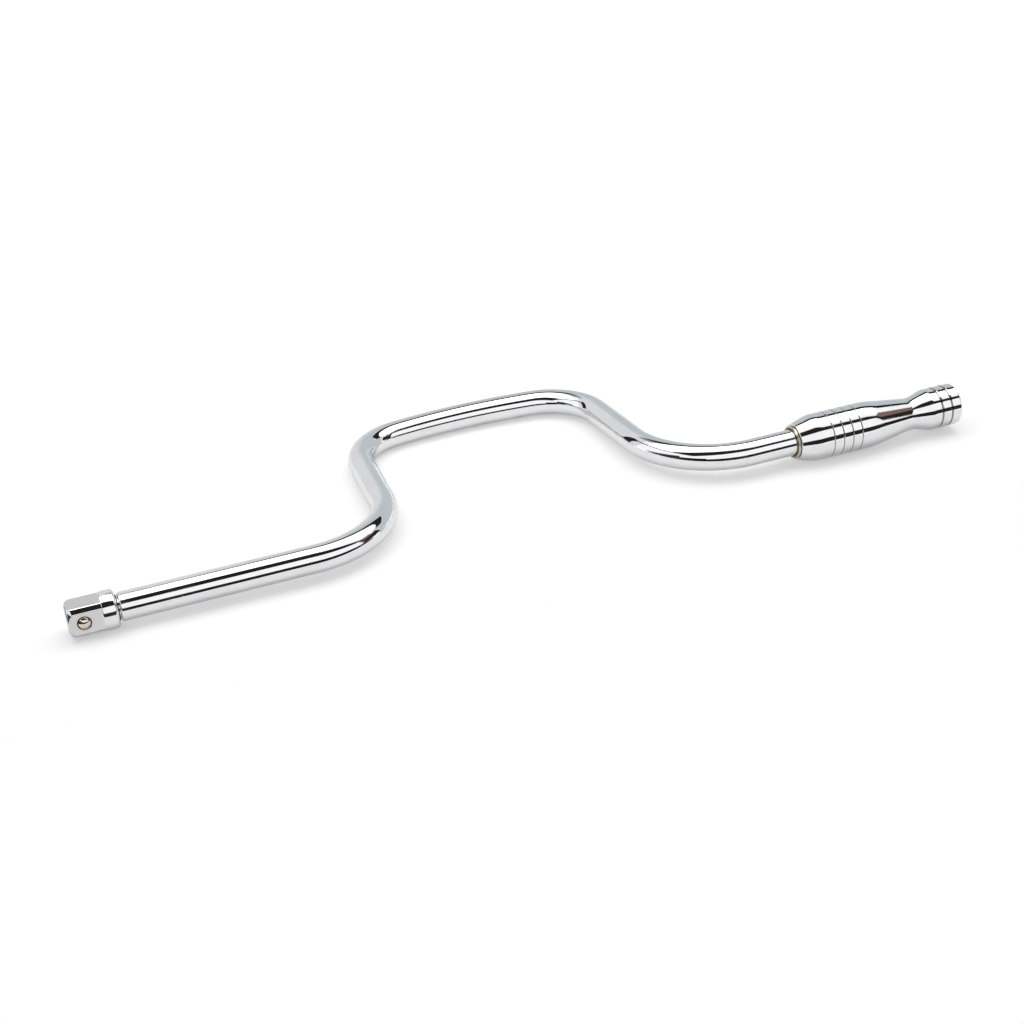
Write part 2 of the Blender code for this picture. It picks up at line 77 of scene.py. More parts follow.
# %% Camera
CAMERA_PLACE = Vector((-0.01239, -0.58023, 0.32249))
CAMERA_AZIMUTH = math.radians(19.04)
CAMERA_TILT = math.radians(27.76)
CAMERA_ROLL = math.radians(4.64)
CAMERA_LENS_MM = 57.33
CAMERA_SENSOR_MM = 36.0
CAMERA_CLIP = 0.01

camera_data = bpy.data.cameras.new("product_camera")
camera_data.lens = CAMERA_LENS_MM
camera_data.sensor_width = CAMERA_SENSOR_MM
camera_data.clip_start = CAMERA_CLIP
camera = bpy.data.objects.new("product_camera", camera_data)
camera.matrix_world = (
    Matrix.Translation(CAMERA_PLACE)
    @ Matrix.Rotation(-CAMERA_AZIMUTH, 4, "Z")
    @ Matrix.Rotation(math.pi / 2 - CAMERA_TILT, 4, "X")
    @ Matrix.Rotation(-CAMERA_ROLL, 4, "Z")
)
bpy.context.scene.collection.objects.link(camera)
bpy.context.scene.camera = camera
print("camera looks along", [round(value, 3) for value in -camera.matrix_world.col[2].xyz])

# %% [markdown]
# ## Sizes that the frame gives
#
# Nothing here is measured twice: the bar's diameter, the grip's ends and the ball's place are read
# from the frame's boxes. Only what a box can't tell, such as a bend's radius, is written out.

# %% Sizes from the frame
bar_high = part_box("crank_bar")[1]
head_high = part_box("drive_head")[1]
ball_low, ball_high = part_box("detent_ball")
grip_low, grip_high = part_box("grip_sleeve")
bush_low, bush_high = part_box("front_bush")
rear_bush_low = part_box("rear_bush")[0]
washer_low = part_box("thrust_washer")[0]
ring_low, ring_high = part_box("retaining_ring")
cap_low, cap_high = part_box("end_cap")

BAR_RADIUS = bar_high.z
GRIP_START = grip_low.x
GRIP_END = grip_high.x
BALL_RADIUS = (ball_high.z - ball_low.z) / 2
BALL_CENTRE = (ball_low + ball_high) / 2
SEAT_GAP = 0.0003
RUNNING_GAP = 0.0001
X_AXIS = Vector((1, 0, 0))
Y_AXIS = Vector((0, 1, 0))
Z_AXIS = Vector((0, 0, 1))
FULL_TURN = 2 * math.pi
QUARTER_TURN = math.pi / 2
MM = 1000
print(f"bar {2 * MM * BAR_RADIUS:.1f} mm thick, grip from {MM * GRIP_START:.1f} to {MM * GRIP_END:.1f} mm")

# %% [markdown]
# ## From a bmesh to a piece
#
# Every piece ends the same way: doubles are merged, normals are made to point outwards, the mesh is
# shaded smooth with its real corners kept, and the object rides on its body in place of a CAD node.
# Mirror-like plating shows every wrong normal. A weighted-normal modifier lets each vertex listen to
# its largest face, so flats stay flat and straight stretches stay straight right up to a rounding.

# %% Finish a piece
WELD = 1e-7
SHARP_ANGLE = math.radians(40)
NORMAL_WEIGHT = 50


def finish_piece(name, bm, surface, body, slot, *nodes):
    """Turns a bmesh into a shown piece that stands for the named CAD nodes."""
    bmesh.ops.remove_doubles(bm, verts=bm.verts, dist=WELD)
    bmesh.ops.recalc_face_normals(bm, faces=bm.faces)
    open_edges = sum(not edge.is_manifold for edge in bm.edges)
    mesh = bpy.data.meshes.new(name)
    bm.to_mesh(mesh)
    bm.free()
    mesh.shade_smooth()
    mesh.set_sharp_from_angle(angle=SHARP_ANGLE)
    mesh.materials.append(surface)
    piece = bpy.data.objects.new(name, mesh)
    bpy.context.scene.collection.objects.link(piece)
    smoother = piece.modifiers.new("flats stay flat", "WEIGHTED_NORMAL")
    smoother.mode = "FACE_AREA"
    smoother.weight = NORMAL_WEIGHT
    smoother.keep_sharp = True
    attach(piece, body)
    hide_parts(*nodes)
    triangles = sum(len(face.vertices) - 2 for face in mesh.polygons)
    print(f"{name}: {triangles} triangles, {open_edges} open edges")


# %% [markdown]
# ## Outlines with rounded corners
#
# A turned part is drawn as half of its section and spun. The drawing is a list of corners, each with
# the radius of the arc that blends it, as on a lathe drawing. This helper puts the arcs in, with as
# many points as keep the polygon within two micrometres of the true arc.

# %% Rounded outlines
ARC_TOLERANCE = 0.000002
LEAST_ARC_STEPS = 3


def rounded(corners, tolerance=ARC_TOLERANCE):
    """Replaces each (x, radius, blend) corner by an arc of that blend radius."""
    points = []
    for index, (x, r, blend) in enumerate(corners):
        here = Vector((x, r))
        if not blend:
            points.append(here)
            continue
        before = (Vector(corners[index - 1][:2]) - here).normalized()
        after = (Vector(corners[index + 1][:2]) - here).normalized()
        turn = math.pi - before.angle(after)
        setback = blend * math.tan(turn / 2)
        centre = here + (before + after).normalized() * (blend / math.cos(turn / 2))
        spoke = here + before * setback - centre
        steps = max(LEAST_ARC_STEPS, math.ceil(turn / math.acos(1 - tolerance / blend) / 2))
        side = math.copysign(turn, spoke.cross(here + after * setback - centre))
        for step in range(steps + 1):
            points.append(centre + Matrix.Rotation(side * step / steps, 2) @ spoke)
    return points


# %% Wires that are spun about the drive axis
def edges_among(items):
    """The edges in what an operator gives back."""
    return [item for item in items if isinstance(item, bmesh.types.BMEdge)]


def wire(bm, outline):
    """Draws an outline of (distance along X, radius) points in the half plane above the X axis."""
    verts = [bm.verts.new(X_AXIS * x + Z_AXIS * r) for x, r in outline]
    return [bm.edges.new(pair) for pair in zip(verts, verts[1:])]


def spin_sector(bm, edges, angle, steps):
    """Spins a wire through part of a turn and returns the wire at the far end."""
    spun = bmesh.ops.spin(
        bm, geom=edges, cent=(0, 0, 0), axis=X_AXIS, angle=angle, steps=steps, use_merge=False
    )
    return edges_among(spun["geom_last"])


def turned(outline, steps, ring=True):
    """Spins an outline through a full turn. A ring's outline is closed first."""
    bm = bmesh.new()
    edges = wire(bm, outline)
    if ring:
        bm.verts.ensure_lookup_table()
        edges.append(bm.edges.new((bm.verts[-1], bm.verts[0])))
    bmesh.ops.spin(
        bm, geom=edges, cent=(0, 0, 0), axis=X_AXIS, angle=FULL_TURN, steps=steps, use_merge=True
    )
    return bm


def extrude_ring(bm, edges, step):
    """Extrudes a loop of edges by a step and returns its new vertices and edges."""
    grown = bmesh.ops.extrude_edge_only(bm, edges=edges)["geom"]
    verts = {item for item in grown if isinstance(item, bmesh.types.BMVert)}
    far = [edge for edge in edges_among(grown) if set(edge.verts) <= verts]
    bmesh.ops.translate(bm, verts=list(verts), vec=step)
    return list(verts), far


# %% [markdown]
# ## The bent bar
#
# On the real tool this is one steel bar, bent hot round six formers and then plated. A curve with a
# bevel would be quick, but its rings drift at a bend. So the bar is drawn the way it is made: a ring
# of edges is extruded along straight stretches and spun round each former's centre. Straights are
# cut into short lengths, so that a bend's turning normals don't spread along them.

# %% Bar sizes
DRIVE_ARM = 0.1012
CRANK_THROW = bar_high.y - BAR_RADIUS
FOOT_BEND_RADIUS = 0.0401
CORNER_BEND_RADIUS = 0.0278
CROWN_RADIUS = 0.2380
CROWN_LENGTH = 0.0695
LEG_ANGLE = math.radians(86.35)
SHOULDER_ROUND = 0.0010
END_CHAMFER = 0.0006
SPIGOT_LENGTH = 0.0090
SPIGOT_STEP = 0.0017
JOURNAL_STEP = 0.0010
TAIL_STEP = 0.0010
RING_GROOVE_DEPTH = 0.0002
SPIGOT_RADIUS = BAR_RADIUS - SPIGOT_STEP
JOURNAL_RADIUS = BAR_RADIUS - JOURNAL_STEP
TAIL_RADIUS = JOURNAL_RADIUS - TAIL_STEP
RING_GROOVE_RADIUS = TAIL_RADIUS - RING_GROOVE_DEPTH

crown_half = CROWN_LENGTH / CROWN_RADIUS / 2
bend_angle = LEG_ANGLE - crown_half
foot_rise = FOOT_BEND_RADIUS * (1 - math.cos(LEG_ANGLE))
corner_rise = CORNER_BEND_RADIUS * (math.cos(crown_half) - math.cos(LEG_ANGLE))
crown_rise = CROWN_RADIUS * (1 - math.cos(crown_half))
leg_length = (CRANK_THROW - foot_rise - corner_rise - crown_rise) / math.sin(LEG_ANGLE)
journal_start = rear_bush_low.x - RUNNING_GAP
tail_start = washer_low.x - SEAT_GAP
print(f"legs {MM * leg_length:.1f} mm long between their bends")

# %% A bar that is drawn and bent
BAR_SIDES = 96
FOOT_STEPS = 48
CORNER_STEPS = 44
CROWN_STEPS = 16
SHOULDER_STEPS = 10
STRAIGHT_STEP = 0.004


class Bar:
    """A ring of edges that is drawn along its heading, stepped in diameter and spun round formers."""

    def __init__(self, start, radius):
        self.bm = bmesh.new()
        self.place = Vector((start, 0, 0))
        self.heading = 0.0
        self.radius = radius
        upright = Matrix.Translation(self.place) @ Matrix.Rotation(QUARTER_TURN, 4, "Y")
        ring = bmesh.ops.create_circle(self.bm, segments=BAR_SIDES, radius=radius, matrix=upright)
        self.first = ring["verts"]
        self.edges = list({edge for vert in self.first for edge in vert.link_edges})

    def direction(self):
        return Vector((math.cos(self.heading), math.sin(self.heading), 0))

    def draw(self, length, radius=None):
        """One extrusion straight ahead, to a new radius if one is given."""
        step = self.direction() * length
        verts, self.edges = extrude_ring(self.bm, self.edges, step)
        self.place += step
        if radius:
            share = radius / self.radius
            about = Matrix.Translation(-self.place)
            bmesh.ops.scale(self.bm, verts=verts, vec=(share, share, share), space=about)
            self.radius = radius

    def run(self, length):
        """A straight stretch in short lengths."""
        count = math.ceil(length / STRAIGHT_STEP)
        for _ in range(count):
            self.draw(length / count)

    def bend(self, former, angle, steps):
        """Bends left for a positive angle and right for a negative one."""
        side = math.copysign(former, angle)
        centre = self.place + Matrix.Rotation(QUARTER_TURN, 3, "Z") @ self.direction() * side
        spun = bmesh.ops.spin(
            self.bm, geom=self.edges, cent=centre, axis=Z_AXIS, angle=angle, steps=steps, use_merge=False
        )
        self.edges = edges_among(spun["geom_last"])
        self.place = centre + Matrix.Rotation(angle, 3, "Z") @ (self.place - centre)
        self.heading += angle

    def close(self):
        """Fills both ends."""
        bmesh.ops.contextual_create(self.bm, geom=self.first)
        bmesh.ops.contextual_create(self.bm, geom=self.edges)
        return self.bm


# %% The crank, from the head's socket to the ring groove inside the grip
def bent_bar():
    bar = Bar(head_high.x + SEAT_GAP - SPIGOT_LENGTH, SPIGOT_RADIUS - END_CHAMFER)
    bar.draw(END_CHAMFER, SPIGOT_RADIUS)
    bar.draw(SPIGOT_LENGTH - END_CHAMFER)
    bar.draw(0, BAR_RADIUS - SHOULDER_ROUND)
    for step in range(SHOULDER_STEPS):
        near = QUARTER_TURN * step / SHOULDER_STEPS
        far = QUARTER_TURN * (step + 1) / SHOULDER_STEPS
        along = SHOULDER_ROUND * (math.cos(near) - math.cos(far))
        bar.draw(along, BAR_RADIUS - SHOULDER_ROUND * (1 - math.sin(far)))
    bar.run(DRIVE_ARM - bar.place.x)
    bar.bend(FOOT_BEND_RADIUS, LEG_ANGLE, FOOT_STEPS)
    bar.run(leg_length)
    bar.bend(CORNER_BEND_RADIUS, -bend_angle, CORNER_STEPS)
    bar.bend(CROWN_RADIUS, -2 * crown_half, CROWN_STEPS)
    bar.bend(CORNER_BEND_RADIUS, -bend_angle, CORNER_STEPS)
    bar.run(leg_length)
    bar.bend(FOOT_BEND_RADIUS, LEG_ANGLE, FOOT_STEPS)
    print(f"the bar is straight again {MM * (GRIP_START - bar.place.x):.1f} mm before the grip")
    bar.run(journal_start - bar.place.x)
    bar.draw(0, JOURNAL_RADIUS)
    bar.run(tail_start - journal_start)
    bar.draw(0, TAIL_RADIUS)
    bar.draw(ring_low.x - SEAT_GAP - tail_start)
    bar.draw(0, RING_GROOVE_RADIUS)
    bar.draw(ring_high.x - ring_low.x + 2 * SEAT_GAP)
    bar.draw(0, TAIL_RADIUS)
    bar.draw(bar_high.x - END_CHAMFER - bar.place.x)
    bar.draw(END_CHAMFER, TAIL_RADIUS - END_CHAMFER)
    return bar.close()


# %% [markdown]
# ## The drive head
#
# The head starts as a round blank on a lathe: a nose with a rounded edge, a cylinder that will become
# the square's four corners, a crowned collar and a short neck. A cutter then mills four flats up to
# the collar, and buffing breaks their edges. Booleans and a bevel would leave slivers on the curved
# edge round the nose. Here the outline is spun with close steps where an edge will come, and each
# vertex in front of the collar moves in along its own spoke, to the smaller of blank and flat. A soft
# minimum in place of a hard one makes the buffed edge, which catches the light as a thin white line.

# %% Head sizes
SQUARE_SIZE = 0.01265
SQUARE_LENGTH = 0.0138
CORNER_RADIUS = 0.00775
NOSE_ROUND = 0.0028
NOSE_TOLERANCE = 0.0000002
EDGE_BREAK = 0.00014
COLLAR_RADIUS = head_high.z
COLLAR_LENGTH = 0.0060
COLLAR_EDGE_STEP = 0.0002
COLLAR_CROWN_RISE = 0.0001
COLLAR_FRONT_EDGE = 0.0003
COLLAR_CROWN_BLEND = 0.0200
COLLAR_REAR_ROUND = 0.0015
NECK_STEP = 0.0006
NECK_RADIUS = BAR_RADIUS - NECK_STEP
NECK_FILLET = 0.0002
FLAT_MIDDLE_STEPS = 30
EDGE_ANGLE = math.radians(5)
EDGE_STEPS = 12
CORNER_SPAN_STEPS = 26

flat_half_angle = math.acos(SQUARE_SIZE / 2 / CORNER_RADIUS)
print(f"each flat takes {math.degrees(2 * flat_half_angle):.1f} degrees of the blank")


# %% The blank, spun with close steps near the edges to come
def head_blank(bm):
    edge = COLLAR_RADIUS - COLLAR_EDGE_STEP
    collar_end = SQUARE_LENGTH + COLLAR_LENGTH
    socket = SPIGOT_RADIUS + SEAT_GAP
    nose = rounded(
        [(0, 0, 0), (0, CORNER_RADIUS, NOSE_ROUND), (SQUARE_LENGTH, CORNER_RADIUS, 0)], NOSE_TOLERANCE
    )
    rest = rounded(
        [
            (SQUARE_LENGTH, edge - 2 * COLLAR_FRONT_EDGE, 0),
            (SQUARE_LENGTH, edge, COLLAR_FRONT_EDGE),
            (SQUARE_LENGTH + COLLAR_LENGTH / 2, COLLAR_RADIUS + COLLAR_CROWN_RISE, COLLAR_CROWN_BLEND),
            (collar_end, edge, COLLAR_REAR_ROUND),
            (collar_end, NECK_RADIUS, NECK_FILLET),
            (head_high.x, NECK_RADIUS, NECK_FILLET),
            (head_high.x, socket, 0),
            (head_high.x - SPIGOT_LENGTH, socket, 0),
            (head_high.x - SPIGOT_LENGTH, 0, 0),
        ]
    )
    edges = wire(bm, nose + rest)
    middle = 2 * (flat_half_angle - EDGE_ANGLE)
    edges = spin_sector(bm, edges, middle / 2, FLAT_MIDDLE_STEPS // 2)
    for quarter in range(4):
        edges = spin_sector(bm, edges, EDGE_ANGLE, EDGE_STEPS)
        edges = spin_sector(bm, edges, QUARTER_TURN - 2 * flat_half_angle, CORNER_SPAN_STEPS)
        edges = spin_sector(bm, edges, EDGE_ANGLE, EDGE_STEPS)
        share = 1 if quarter < 3 else 0.5
        edges = spin_sector(bm, edges, middle * share, round(FLAT_MIDDLE_STEPS * share))
    bmesh.ops.remove_doubles(bm, verts=bm.verts, dist=WELD)


# %% Milling the flats
def soft_least(first, second, softness):
    """The smaller of two lengths, with the corner between them rounded."""
    near = max(softness - abs(first - second), 0) / softness
    return min(first, second) - near * near * softness / 4


def mill_flats(bm):
    """Moves each vertex in front of the collar in to the flats, and the collar's face out to them."""
    rounding_end = SQUARE_LENGTH + COLLAR_FRONT_EDGE + WELD
    for vert in bm.verts:
        reach = vert.co.yz.length
        if vert.co.x > rounding_end or reach < WELD:
            continue
        angle = math.atan2(vert.co.z, vert.co.y)
        local = (angle + QUARTER_TURN / 2) % QUARTER_TURN - QUARTER_TURN / 2
        flat = SQUARE_SIZE / 2 / math.cos(local)
        on_collar = vert.co.x > SQUARE_LENGTH - WELD and abs(reach - CORNER_RADIUS) > WELD
        left = soft_least(CORNER_RADIUS if on_collar else reach, flat, EDGE_BREAK)
        if on_collar:
            left = max(left, reach)
        vert.co.yz = vert.co.yz * (left / reach)


# %% [markdown]
# ## The ball's hole
#
# The detent ball sits in a drilled hole whose rim is staked over it. The flat round the hole is one
# plane, so its small faces are deleted, a circle is drawn in the gap and the ring between is filled.
# The circle's edges are then extruded inwards step by step: the staked ring, the rounded lip, the bore
# and the drill's cone.

# %% Hole sizes
HOLE_RADIUS = BALL_RADIUS + RUNNING_GAP
LIP_OVERHANG = 0.00025
LIP_RADIUS = BALL_RADIUS - LIP_OVERHANG
LIP_DEPTH = 0.00045
LIP_FLARE = 0.00045
STAKE_WIDTH = 0.00085
STAKE_DEPTH = 0.0001
HOLE_DEPTH = 0.0100
DRILL_TIP = 0.0018
HOLE_SIDES = 96
LIP_STEPS = 5
flat_y = -SQUARE_SIZE / 2
ball_drop = BALL_CENTRE.y - flat_y - LIP_DEPTH


# %% Cutting the hole
def hole_steps():
    """(depth, radius) of each ring from the staked rim to the drill's tip."""
    flare = LIP_RADIUS + LIP_FLARE
    steps = [(STAKE_DEPTH, flare)]
    for step in range(1, LIP_STEPS + 1):
        angle = QUARTER_TURN * step / LIP_STEPS
        depth = STAKE_DEPTH + (LIP_DEPTH - STAKE_DEPTH) * (1 - math.cos(angle))
        steps.append((depth, flare - LIP_FLARE * math.sin(angle)))
    steps.append((LIP_DEPTH + ball_drop / 2, HOLE_RADIUS))
    steps.append((HOLE_DEPTH, HOLE_RADIUS))
    steps.append((HOLE_DEPTH + DRILL_TIP, HOLE_RADIUS / HOLE_SIDES))
    return steps


def is_on_flat(item):
    return all(abs(vert.co.y - flat_y) < WELD for vert in item.verts)


def cut_hole(bm):
    bmesh.ops.delete(bm, geom=[face for face in bm.faces if is_on_flat(face)], context="FACES")
    rim = [edge for edge in bm.edges if edge.is_boundary and is_on_flat(edge)]
    centre = Vector((BALL_CENTRE.x, flat_y, 0))
    place = Matrix.Translation(centre) @ Matrix.Rotation(QUARTER_TURN, 4, "X")
    depth = 0
    radius = LIP_RADIUS + LIP_FLARE + STAKE_WIDTH
    ring = bmesh.ops.create_circle(bm, segments=HOLE_SIDES, radius=radius, matrix=place)["verts"]
    edges = list({edge for vert in ring for edge in vert.link_edges})
    bmesh.ops.triangle_fill(bm, use_beauty=True, use_dissolve=False, edges=rim + edges)
    for next_depth, next_radius in hole_steps():
        verts, edges = extrude_ring(bm, edges, Y_AXIS * (next_depth - depth))
        share = next_radius / radius
        about = Matrix.Translation(-centre)
        bmesh.ops.scale(bm, verts=verts, vec=(share, 1, share), space=about)
        depth, radius = next_depth, next_radius
    bmesh.ops.contextual_create(bm, geom=edges)


def drive_head():
    bm = bmesh.new()
    head_blank(bm)
    mill_flats(bm)
    cut_hole(bm)
    return bm


# %% [markdown]
# ## The detent ball
#
# A bearing ball is as true a sphere as anything made, so it is one, with facets far below a pixel. The
# icosphere has no poles, so its highlight doesn't pinch.

# %% Ball
BALL_SUBDIVISIONS = 5


def detent_ball():
    bm = bmesh.new()
    place = Matrix.Translation(BALL_CENTRE)
    bmesh.ops.create_icosphere(bm, subdivisions=BALL_SUBDIVISIONS, radius=BALL_RADIUS, matrix=place)
    return bm


# %% [markdown]
# ## The grip and what closes it
#
# The grip is turned from tube in one setting: nose, belly, waist and knob, with fine grooves for the
# fingers. One long outline does it all. Grooves come from a loop, each with its own small edge blends,
# because a sharp groove edge would never show the thin bright line that the real one has.

# %% Grip sizes
NOSE_LENGTH = 0.0088
BELLY_LENGTH = 0.0283
TAPER_LENGTH = 0.0235
NECK_LENGTH = 0.0079
BELLY_RADIUS = grip_high.z
KNOB_DIAMETER = 0.0191
KNOB_RADIUS = KNOB_DIAMETER / 2
MOUTH_WALL = 0.0010
WAIST_WALL = 0.0010
NOSE_BLEND = 0.0140
BELLY_BLEND = 0.0500
WAIST_BLEND = 0.0140
KNOB_BLEND = 0.0035
RIM_BLEND = 0.0007
MOUTH_BLEND = 0.0005
BORE_EDGE = 0.00025
BELLY_GROOVE_COUNT = 4
BELLY_GROOVE_START = 0.0065
BELLY_GROOVE_PITCH = 0.00477
BELLY_GROOVE_WIDTH = 0.0006
KNOB_GROOVE_COUNT = 2
KNOB_GROOVE_START = 0.0042
KNOB_GROOVE_PITCH = 0.0050
KNOB_GROOVE_WIDTH = 0.0012
GROOVE_DEPTH = 0.0003
GROOVE_FLOOR_SHARE = 0.35
GROOVE_EDGE_BLEND = 0.00012
GRIP_STEPS = 144

BUSH_WALL = 0.0008
REAR_FLANGE_THICKNESS = 0.0010
GRIP_BORE = BAR_RADIUS + RUNNING_GAP + BUSH_WALL + SEAT_GAP
REAR_BORE = JOURNAL_RADIUS + RUNNING_GAP + BUSH_WALL + SEAT_GAP
CAP_BORE = cap_high.z + SEAT_GAP
belly_start = GRIP_START + NOSE_LENGTH
belly_end = belly_start + BELLY_LENGTH
waist_place = belly_end + TAPER_LENGTH
knob_start = waist_place + NECK_LENGTH
belly_grooves = (
    belly_start + BELLY_GROOVE_START, BELLY_GROOVE_PITCH, BELLY_GROOVE_COUNT, BELLY_GROOVE_WIDTH
)
knob_grooves = (knob_start + KNOB_GROOVE_START, KNOB_GROOVE_PITCH, KNOB_GROOVE_COUNT, KNOB_GROOVE_WIDTH)
rear_bore_start = rear_bush_low.x + REAR_FLANGE_THICKNESS + SEAT_GAP
cap_bore_start = washer_low.x - 2 * RUNNING_GAP


# %% The grip's outline
def grooves(radius, start, pitch, count, width):
    """Shallow flat-bottomed grooves with softened edges."""
    corners = []
    floor = width * GROOVE_FLOOR_SHARE
    for index in range(count):
        middle = start + index * pitch
        corners += [
            (middle - width / 2, radius, GROOVE_EDGE_BLEND),
            (middle - floor / 2, radius - GROOVE_DEPTH, GROOVE_EDGE_BLEND / 2),
            (middle + floor / 2, radius - GROOVE_DEPTH, GROOVE_EDGE_BLEND / 2),
            (middle + width / 2, radius, GROOVE_EDGE_BLEND),
        ]
    return corners


def grip_sleeve():
    corners = [
        (GRIP_START, GRIP_BORE + BORE_EDGE, 0),
        (GRIP_START, GRIP_BORE + MOUTH_WALL, MOUTH_BLEND),
        (belly_start, BELLY_RADIUS, NOSE_BLEND),
        *grooves(BELLY_RADIUS, *belly_grooves),
        (belly_end, BELLY_RADIUS, BELLY_BLEND),
        (waist_place, REAR_BORE + WAIST_WALL, WAIST_BLEND),
        (knob_start, KNOB_RADIUS, KNOB_BLEND),
        *grooves(KNOB_RADIUS, *knob_grooves),
        (GRIP_END, KNOB_RADIUS, RIM_BLEND),
        (GRIP_END, CAP_BORE + BORE_EDGE, 0),
        (GRIP_END - BORE_EDGE, CAP_BORE, 0),
        (cap_bore_start, CAP_BORE, 0),
        (cap_bore_start, REAR_BORE, 0),
        (rear_bore_start, REAR_BORE, 0),
        (rear_bore_start, GRIP_BORE, 0),
        (GRIP_START + BORE_EDGE, GRIP_BORE, 0),
    ]
    return turned(rounded(corners), GRIP_STEPS)


# %% Bush and cap
FLANGE_THICKNESS = 0.0008
FLANGE_ROUND = 0.00035
CAP_WALL = 0.0010
CAP_ROUND = 0.00035


def mouth_bush():
    """The bronze bush in the grip's mouth, with the thin flange that shows."""
    inner = BAR_RADIUS + RUNNING_GAP
    flange_end = bush_low.x + FLANGE_THICKNESS
    corners = [
        (bush_low.x, inner, 0),
        (bush_low.x, bush_high.z, FLANGE_ROUND),
        (flange_end, bush_high.z, 0),
        (flange_end, GRIP_BORE - SEAT_GAP, 0),
        (bush_high.x, GRIP_BORE - SEAT_GAP, 0),
        (bush_high.x, inner, 0),
    ]
    return turned(rounded(corners), GRIP_STEPS)


def end_cap():
    """The pressed cup that closes the knob."""
    corners = [
        (cap_high.x - CAP_WALL, 0, 0),
        (cap_high.x - CAP_WALL, cap_high.z - CAP_WALL, CAP_ROUND),
        (cap_low.x, cap_high.z - CAP_WALL, 0),
        (cap_low.x, cap_high.z, 0),
        (cap_high.x, cap_high.z, CAP_ROUND),
        (cap_high.x, 0, 0),
    ]
    return turned(rounded(corners), GRIP_STEPS, ring=False)


# %% [markdown]
# ## Small helpers for nodes
#
# A finish that several pieces share is a node group with named sockets. A few helpers keep the node
# trees short: one opens a group, one feeds a socket from a value or from another socket, and each of
# the others adds the few nodes of one step, such as a soft edge or the distance from the drive axis.

# %% Node helpers
def new_group(name, inputs, outputs):
    """Opens a shader node group. Inputs are (name, default) and outputs are (name, socket type)."""
    group = bpy.data.node_groups.new(name, "ShaderNodeTree")
    for label, value in inputs:
        kind = "NodeSocketFloat" if isinstance(value, float) else "NodeSocketColor"
        kind = "NodeSocketVector" if isinstance(value, Vector) else kind
        socket = group.interface.new_socket(label, in_out="INPUT", socket_type=kind)
        socket.default_value = value
    for label, kind in outputs:
        group.interface.new_socket(label, in_out="OUTPUT", socket_type=kind)
    return group, group.nodes.new("NodeGroupInput").outputs, group.nodes.new("NodeGroupOutput").inputs


def feed(tree, socket, source):
    """Links a socket to another one, or sets it to a plain value."""
    if isinstance(source, bpy.types.NodeSocket):
        tree.links.new(source, socket)
    else:
        socket.default_value = source


def calc(tree, operation, *sources):
    """A math node, fed by values or sockets."""
    node = tree.nodes.new("ShaderNodeMath")
    node.operation = operation
    for socket, source in zip(node.inputs, sources):
        feed(tree, socket, source)
    return node.outputs[0]


def fade(tree, value, start, end):
    """A smooth step from 0 at start to 1 at end."""
    node = tree.nodes.new("ShaderNodeMapRange")
    node.interpolation_type = "SMOOTHSTEP"
    feed(tree, node.inputs["Value"], value)
    feed(tree, node.inputs["From Min"], start)
    feed(tree, node.inputs["From Max"], end)
    return node.outputs["Result"]


def mix_colour(tree, share, first, second):
    """A colour between two others."""
    node = tree.nodes.new("ShaderNodeMix")
    node.data_type = "RGBA"
    feed(tree, node.inputs["Factor"], share)
    ends = [socket for socket in node.inputs if socket.type == "RGBA"]
    feed(tree, ends[0], first)
    feed(tree, ends[1], second)
    return next(socket for socket in node.outputs if socket.type == "RGBA")


# %% Helpers for a point's place
def own_place(tree):
    """A point's place in its object's own coordinates, so a pattern rides with its piece."""
    return tree.nodes.new("ShaderNodeTexCoord").outputs["Object"]


def own_axes(tree):
    """The same place as its X, Y and Z."""
    node = tree.nodes.new("ShaderNodeSeparateXYZ")
    feed(tree, node.inputs["Vector"], own_place(tree))
    return node.outputs


def distance(tree, place, centre):
    """How far a place is from a centre."""
    node = tree.nodes.new("ShaderNodeVectorMath")
    node.operation = "DISTANCE"
    feed(tree, node.inputs[0], place)
    feed(tree, node.inputs[1], centre)
    return node.outputs["Value"]


def from_axis(tree, axes):
    """How far a point is from the drive axis."""
    squares = calc(tree, "MULTIPLY", axes["Y"], axes["Y"])
    squares = calc(tree, "MULTIPLY_ADD", axes["Z"], axes["Z"], squares)
    return calc(tree, "SQRT", squares)


def noise(tree, scale, detail):
    """Soft noise over an object's own coordinates."""
    node = tree.nodes.new("ShaderNodeTexNoise")
    feed(tree, node.inputs["Vector"], own_place(tree))
    feed(tree, node.inputs["Scale"], scale)
    feed(tree, node.inputs["Detail"], detail)
    return node.outputs["Fac"]


# %% [markdown]
# ## Polish
#
# Plating copies the steel beneath it, and steel that was buffed on a soft wheel is never quite flat:
# it rolls by a few hundredths of a millimetre over a finger's width. That roll makes the lines in the
# mirror waver. Here and there a thin haze stays where the wheel lifted.

# %% Polish group
ROLL_DETAIL = 1.5
CLOUDS_PER_METRE = 70
CLOUD_DETAIL = 4
CLOUD_EDGE = (0.45, 0.75)

polish, polish_in, polish_out = new_group(
    "buffed plating",
    [("Roll Length", 0.012), ("Roll Depth", 0.00002), ("Mirror", 0.04), ("Haze", 0.12)],
    [("Roughness", "NodeSocketFloat"), ("Height", "NodeSocketFloat")],
)
rolls_per_metre = calc(polish, "DIVIDE", 1.0, polish_in["Roll Length"])
roll = noise(polish, rolls_per_metre, ROLL_DETAIL)
feed(polish, polish_out["Height"], calc(polish, "MULTIPLY", roll, polish_in["Roll Depth"]))
hazy = fade(polish, noise(polish, CLOUDS_PER_METRE, CLOUD_DETAIL), *CLOUD_EDGE)
span = calc(polish, "SUBTRACT", polish_in["Haze"], polish_in["Mirror"])
feed(polish, polish_out["Roughness"], calc(polish, "MULTIPLY_ADD", hazy, span, polish_in["Mirror"]))
print("group:", polish.name)

